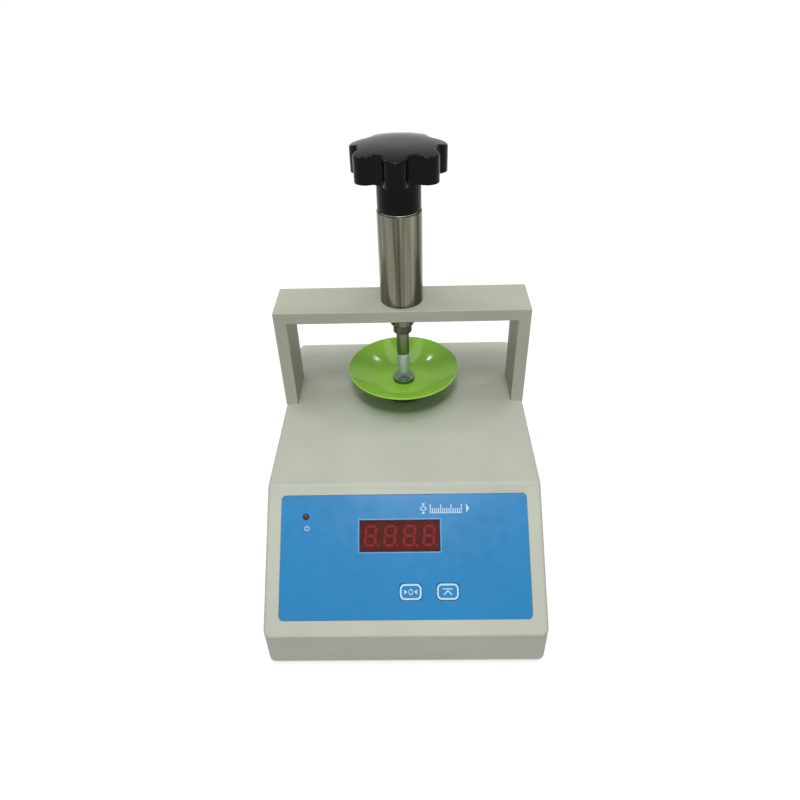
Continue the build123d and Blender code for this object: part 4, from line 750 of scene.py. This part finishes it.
# Top right of the film: a tablet pressed between two arrowheads, then a force scale with its own
scale = {
    "x": 25.8, "up": 79.0, "first": -8.6, "ticks": 16, "pitch": 1.35, "tick": 0.6, "long": 5.4,
    "short": 2.9, "foot": -2.7, "lineUp": -2.85, "line": 0.42, "tabletX": -13.2, "tablet": 1.5,
    "tabletLine": 0.5, "squeeze": 1.35,
    "arrows": (
        ((-13.2, 1.7), (-12.0, 3.3), (-14.4, 3.3)), ((-13.2, -1.7), (-14.4, -3.3), (-12.0, -3.3)),
        ((14.6, -3.0), (16.8, 0), (14.6, 3.0)),
    ),
}
bm = bmesh.new()
ringMark(bm, scale["tabletX"], 0, scale["tablet"], scale["tabletLine"], squeeze=scale["squeeze"])
for corners in scale["arrows"]:
    cornersMark(bm, *corners)
for tick in range(scale["ticks"]):
    tall = scale["long"] if tick % 5 == 0 else scale["short"]
    barMark(bm, scale["first"] + tick * scale["pitch"], tall / 2 + scale["foot"], scale["tick"], tall)
span = (scale["ticks"] - 1) * scale["pitch"]
barMark(bm, scale["first"] + span / 2, scale["lineUp"], span + scale["tick"], scale["line"])
printMark(bm, "forceScale", "base", onSlope(scale["x"], scale["up"], panel["filmOut"]))


def keyShape():
    bm = plate(*panel["keySize"], panel["keyCorner"])
    thicken(bm, panel["keyDepth"])
    roundEdges(bm, rimEdges(bm, panel["keyDepth"]), panel["keyEdge"], 2)
    return bm


zero = {
    "ring": 1.9, "line": 0.55, "squeeze": 0.72,
    "arrows": (((-2.1, 0), (-4.1, 1.5), (-4.1, -1.5)), ((2.1, 0), (4.1, -1.5), (4.1, 1.5))),
}
hold = {
    "barUp": 1.7, "bar": (6.6, 0.6),
    "peak": ((-3.1, -1.9), (0, 1.1), (3.1, -1.9), (2.0, -1.9), (0, 0.1), (-2.0, -1.9)),
}


def zeroSign(bm):
    # A nought between two arrowheads: set to zero
    ringMark(bm, 0, 0, zero["ring"], zero["line"], squeeze=zero["squeeze"])
    for corners in zero["arrows"]:
        cornersMark(bm, *corners)


def holdSign(bm):
    # A peak below a bar: hold the highest reading
    barMark(bm, 0, hold["barUp"], *hold["bar"])
    cornersMark(bm, *hold["peak"])


for keyName, sign in (("zero", zeroSign), ("hold", holdSign)):
    x, body = panel["keyX"][keyName], keyName + "_button"
    place = onSlope(x, panel["keyUp"], panel["keyOut"] - panel["keyDepth"])
    makePiece(keyShape(), keyName + "KeyPad", body, "film_blue", (keyName + "_key",), place=place)
    bm = bmesh.new()
    wide, high = (size - 2 * panel["keyMargin"] for size in panel["keySize"])
    outlineMark(bm, wide, high, panel["keyCorner"], panel["keyLine"])
    sign(bm)
    printMark(bm, keyName + "KeyPrint", body, onSlope(x, panel["keyUp"], panel["keyOut"]))

# Tinted window over the digits
sheet = {"thickness": 2.0, "sink": 0.35, "edge": 0.25, "corner": 0.3}
bm = plate(*panel["windowSize"], sheet["corner"], 3)
thicken(bm, sheet["thickness"])
roundEdges(bm, rimEdges(bm, sheet["thickness"]), sheet["edge"], 2)
sheetPlace = onSlope(panel["windowX"], panel["windowUp"], -sheet["sink"] - sheet["thickness"])
makePiece(bm, "displayWindow", "base", "filter_red", ("display_filter",), place=sheetPlace)

# Indicator lamp: domed lens
lens = {"out": 0.65, "foot": -6.4, "flange": 2.3, "flangeTop": -5.4, "dome": 0.95}
lampOutline = [
    (0, lens["foot"]), (lens["flange"], lens["foot"]), (lens["flange"], lens["flangeTop"]),
    (panel["lampRadius"], lens["flangeTop"]), (panel["lampRadius"], lens["out"], lens["dome"]),
    (0, lens["out"]),
]
makePiece(
    spunShape(lampOutline, steps=48), "indicatorLamp", "base", "lamp_red", ("power_lamp",),
    place=onSlope(panel["lampX"], panel["lampUp"]),
)

# Feet and the screws that show from below

print("feet, screws and rear fittings")
feet = {"top": 8.0, "bottom": 7.0, "recess": 3.4, "recessDepth": 2.4, "bore": 1.65, "edge": 0.6}
feetLow, feetHigh = nodeBox("rubber_feet")
footX, footY = feetHigh.x - feet["top"], (feetHigh.y - feetLow.y) / 2 - feet["top"]
footMiddle = (feetHigh.y + feetLow.y) / 2
footOutline = [
    (feet["recess"], 0.0), (feet["bottom"], 0.0, feet["edge"]), (feet["top"], feetHigh.z),
    (feet["bore"], feetHigh.z), (feet["bore"], feet["recessDepth"]), (feet["recess"], feet["recessDepth"]),
]
bm = bmesh.new()
for x in (-footX, footX):
    for y in (footMiddle - footY, footMiddle + footY):
        joinInto(bm, spunShape(footOutline, closed=True, steps=48, centre=(x, y, 0)))
makePiece(bm, "rubberFeet", "base", "foot_rubber", ("rubber_feet",))


def crossRadius(angle, half, reach):
    # Outline of a cross recess, by angle
    off = abs((angle + pi / 4) % (pi / 2) - pi / 4)
    side = half / max(sin(off), 0.001)
    return min(reach / cos(off), side)


headForm = {
    "crossFoot": 0.28, "crossDepth": 0.55, "crossReach": 0.56, "crossHalf": 0.3, "flat": 0.66,
    "shoulder": (0.88, 0.8), "rim": 0.4, "steps": 32,
}  # shares of the head's radius, and of its height for the shoulder's second value and the rim


def panHead(radius, height, shank, length):
    # Rounded head with a cross recess, seat at the origin and shank below it
    bm = bmesh.new()
    shoulder, shoulderHeight = headForm["shoulder"]
    rings = [
        (radius * headForm["crossFoot"], height - radius * headForm["crossDepth"], "cross"),
        (radius * headForm["crossReach"], height, "cross"), (radius * headForm["flat"], height, "round"),
        (radius * shoulder, height * shoulderHeight, "round"), (radius, height * headForm["rim"], "round"),
        (radius, 0, "round"), (shank, 0, "round"), (shank, -length, "round"),
    ]
    wires = []
    for size, level, form in rings:
        verts = bmesh.ops.create_circle(bm, segments=headForm["steps"], radius=size)["verts"]
        for vert in verts:
            if form == "cross":
                half = size * headForm["crossHalf"]
                vert.co.xy *= crossRadius(atan2(vert.co.y, vert.co.x), half, size) / size
            vert.co.z = level
        wires.append(list({edge for vert in verts for edge in vert.link_edges}))
    for inner, outer in zip(wires, wires[1:]):
        bmesh.ops.bridge_loops(bm, edges=inner + outer)
    for end in (wires[0], wires[-1]):
        bmesh.ops.edgeloop_fill(bm, edges=end)
    bmesh.ops.recalc_face_normals(bm, faces=bm.faces)
    return bm


def screwGroup(node, name, places, size, length):
    bm = bmesh.new()
    for place in places:
        one = panHead(size["head"], size["height"], size["shank"], length)
        bmesh.ops.transform(one, matrix=place, verts=one.verts)
        joinInto(bm, one)
    makePiece(bm, name, "base", "zinc_steel", (node,), sharp=50)


def cornersOf(low, high, radius):
    # Centres of round heads in the corners of a node's box
    return {
        (round(x, 3), round(y, 3))
        for x in (low.x + radius, high.x - radius) for y in (low.y + radius, high.y - radius)
    }


def fromBelow(x, y, z):
    return Matrix.Translation((x, y, z)) @ Matrix.Rotation(pi, 4, "X")


small = {"head": 2.8, "height": 1.8, "shank": 1.45}
medium = {"head": 3.7, "height": 2.4, "shank": 1.95}
for node, name, size, seatHeight in (
    ("base_screws", "baseScrews", small, caseLow.z),
    ("foot_screws", "footScrews", small, feet["recessDepth"]),
    ("bridge_screws", "bridgeScrews", medium, caseLow.z),
    ("load_cell_screws", "loadCellScrews", medium, caseLow.z),
):
    low, high = nodeBox(node)
    places = [fromBelow(x, y, seatHeight) for x, y in sorted(cornersOf(low, high, size["head"]))]
    screwGroup(node, name, places, size, high.z - seatHeight)

# Mains inlet, rocker switch and fuse on the rear wall
rear = {"flange": 3.0, "inletScrewPitch": 40.0}
inletLow, inletHigh = nodeBox("power_inlet")
inletX, rearHeight = (inletLow.x + inletHigh.x) / 2, (inletLow.z + inletHigh.z) / 2


def rearFitting(node, name, body="base", slotName="fitting_black", soft=0.25):
    makePiece(mergedCopy(node), name, body, slotName, (node,), soft=soft)


rearFitting("power_inlet", "mainsInlet")
rearFitting("inlet_pins", "inletPins", slotName="pin_brass", soft=0.2)
inletScrewPlaces = [
    onRear(inletX + side * rear["inletScrewPitch"] / 2, rearHeight, rear["flange"]) for side in (-1, 1)
]
screwLow, screwHigh = nodeBox("inlet_screws")
inletScrewLength = caseHigh.y + rear["flange"] - screwLow.y
screwGroup("inlet_screws", "inletScrews", inletScrewPlaces, small, inletScrewLength)
rearFitting("switch_housing", "switchHousing")
rearFitting("power_rocker", "powerRocker", body="mains_rocker", soft=0.3)

# The rocker's face is a hollow arc between two tips, and its two signs lie on that arc
rocker = {
    "tilt": 10.0, "hinge": 0.5, "half": 8.0, "tip": 3.6, "dip": 2.0,
    "markUp": 4.6, "markOut": 0.06, "bar": (0.55, 3.2), "ring": (1.6, 0.5),
}
switchLow, switchHigh = nodeBox("switch_housing")
rockerPlace = onRear((switchLow.x + switchHigh.x) / 2, rearHeight, rocker["hinge"])
rockerTurn = Matrix.Rotation(radians(rocker["tilt"]), 4, "X")
arcRise = rocker["tip"] - rocker["dip"]
arcRadius = (rocker["half"] ** 2 + arcRise ** 2) / (2 * arcRise)
arcOut = rocker["dip"] + arcRadius - sqrt(arcRadius ** 2 - rocker["markUp"] ** 2)
for side, name in ((1, "rockerOn"), (-1, "rockerOff")):
    bm = bmesh.new()
    if side > 0:
        barMark(bm, 0, 0, *rocker["bar"])
    else:
        ringMark(bm, 0, 0, *rocker["ring"])
    lean = Matrix.Rotation(side * asin(rocker["markUp"] / arcRadius), 4, "X")
    onArc = Matrix.Translation((0, side * rocker["markUp"], arcOut + rocker["markOut"])) @ lean
    printMark(bm, name, "mains_rocker", rockerPlace @ rockerTurn @ onArc)
rearFitting("fuse_holder", "fuseHolder")
rearFitting("fuse_cap", "fuseCap")

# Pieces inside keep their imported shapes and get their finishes

dressing = {
    "zinc_steel": [
        "foot_nuts", "leg_screws", "overload_stop", "knob_insert", "panel_screws", "board_pillars",
        "board_screws", "transformer_strap", "transformer_screws", "inlet_nuts",
    ],
    "plate_paint": ["force_bridge"],
    "load_aluminium": ["load_cell_block", "load_cell"],
    "bright_steel": ["dish_post", "lead_screw"],
    "bronze": ["spindle_bush"],
    "display_black": ["display_module"],
    "display_bars": ["display_digits"],
    "component_black": ["tact_switches", "board_components"],
    "board_green": ["panel_board", "main_board"],
    "laminated_steel": ["transformer_core"],
    "coil_wrap": ["transformer_coil"],
    "fuse_glass": ["fuse"],
}
for slotName, nodes in dressing.items():
    for node in nodes:
        dressNode(node, slotName)

# Floor, world, lamps and camera

print("stage")
stage = {"size": 24.0, "white": 0.34, "rough": 0.9, "lift": 0.72, "fill": 0.11}
suns = {
    "key": {"strength": 0.98, "spread": 13.0, "tilt": 26.0},
    "top": {"strength": 1.62, "spread": 46.0, "tilt": 4.0},
}
lamps = {
    "frontLamp": {"place": (0, -2.4, 0.55), "target": (0, 0, 0.1), "power": 14.0, "size": 1.1},
    "leftSpark": {"place": (-0.675, 0.50, 1.27), "target": (0, 0.05, 0.11), "power": 1.3, "size": 0.11},
    "rightSpark": {"place": (0.675, 0.50, 1.27), "target": (0, 0.05, 0.11), "power": 1.3, "size": 0.11},
}


def backgroundRays(tree):
    # One for rays from the camera, in reflections and through glass
    path = tree.nodes.new("ShaderNodeLightPath")
    either = tree.nodes.new("ShaderNodeMath")
    either.operation = "MAXIMUM"
    allThree = tree.nodes.new("ShaderNodeMath")
    allThree.operation = "MAXIMUM"
    tree.links.new(path.outputs["Is Camera Ray"], either.inputs[0])
    tree.links.new(path.outputs["Is Glossy Ray"], either.inputs[1])
    tree.links.new(either.outputs[0], allThree.inputs[0])
    tree.links.new(path.outputs["Is Transmission Ray"], allThree.inputs[1])
    return allThree.outputs[0]


bm = bmesh.new()
bmesh.ops.create_grid(bm, x_segments=1, y_segments=1, size=stage["size"] / 2)
floorMesh = bpy.data.meshes.new("floor")
bm.to_mesh(floorMesh)
bm.free()
floorPiece = bpy.data.objects.new("floor", floorMesh)
bpy.context.scene.collection.objects.link(floorPiece)
floorMaterial = bpy.data.materials.new("floorWhite")
floorMaterial.use_nodes = True
floorSurface = floorMaterial.node_tree.nodes["Principled BSDF"]
floorSurface.inputs["Base Color"].default_value = (stage["white"], stage["white"], stage["white"], 1)
floorSurface.inputs["Roughness"].default_value = stage["rough"]
floorSurface.inputs["Specular IOR Level"].default_value = 0.0
floorSurface.inputs["Emission Color"].default_value = (1, 1, 1, 1)
lift = floorMaterial.node_tree.nodes.new("ShaderNodeMath")
lift.operation = "MULTIPLY"
lift.inputs[1].default_value = stage["lift"]
floorMaterial.node_tree.links.new(backgroundRays(floorMaterial.node_tree), lift.inputs[0])
floorMaterial.node_tree.links.new(lift.outputs[0], floorSurface.inputs["Emission Strength"])
floorMesh.materials.append(floorMaterial)

world = bpy.data.worlds.new("studio")
bpy.context.scene.world = world
world.use_nodes = True
sky = world.node_tree.nodes["Background"]
sky.inputs["Color"].default_value = (1, 1, 1, 1)
strength = world.node_tree.nodes.new("ShaderNodeMapRange")
strength.inputs["To Min"].default_value = stage["fill"]
strength.inputs["To Max"].default_value = 1.0
world.node_tree.links.new(backgroundRays(world.node_tree), strength.inputs["Value"])
world.node_tree.links.new(strength.outputs["Result"], sky.inputs["Strength"])


def hangLamp(name, light, place, target):
    lamp = bpy.data.objects.new(name, light)
    lamp.location = place
    lamp.rotation_euler = (Vector(target) - Vector(place)).to_track_quat("-Z", "Y").to_euler()
    bpy.context.scene.collection.objects.link(lamp)


for name, sun in suns.items():
    # Even light from above, leaning to the front
    light = bpy.data.lights.new(name + "Light", "SUN")
    light.energy = sun["strength"]
    light.angle = radians(sun["spread"])
    tilt = radians(sun["tilt"])
    hangLamp(name + "Light", light, (0, -sin(tilt), cos(tilt)), (0, 0, 0))
for name, area in lamps.items():
    light = bpy.data.lights.new(name, "AREA")
    light.energy = area["power"]
    light.size = area["size"]
    hangLamp(name, light, area["place"], area["target"])

view = {
    "place": (0.00809, -0.36042, 0.39916), "pan": 1.62, "tilt": 52.34, "roll": -1.88,
    "lens": 29.49, "sensor": 36.0,
}
cameraData = bpy.data.cameras.new("camera")
cameraData.lens = view["lens"]
cameraData.sensor_width = view["sensor"]
cameraData.clip_start = 0.01
camera = bpy.data.objects.new("camera", cameraData)
camera.matrix_world = (
    Matrix.Translation(view["place"]) @ Matrix.Rotation(radians(view["pan"]), 4, "Z")
    @ Matrix.Rotation(radians(view["tilt"]), 4, "X") @ Matrix.Rotation(radians(view["roll"]), 4, "Z")
)
bpy.context.scene.collection.objects.link(camera)
bpy.context.scene.camera = camera
bpy.context.scene.view_settings.view_transform = "Standard"

bpy.context.view_layer.update()
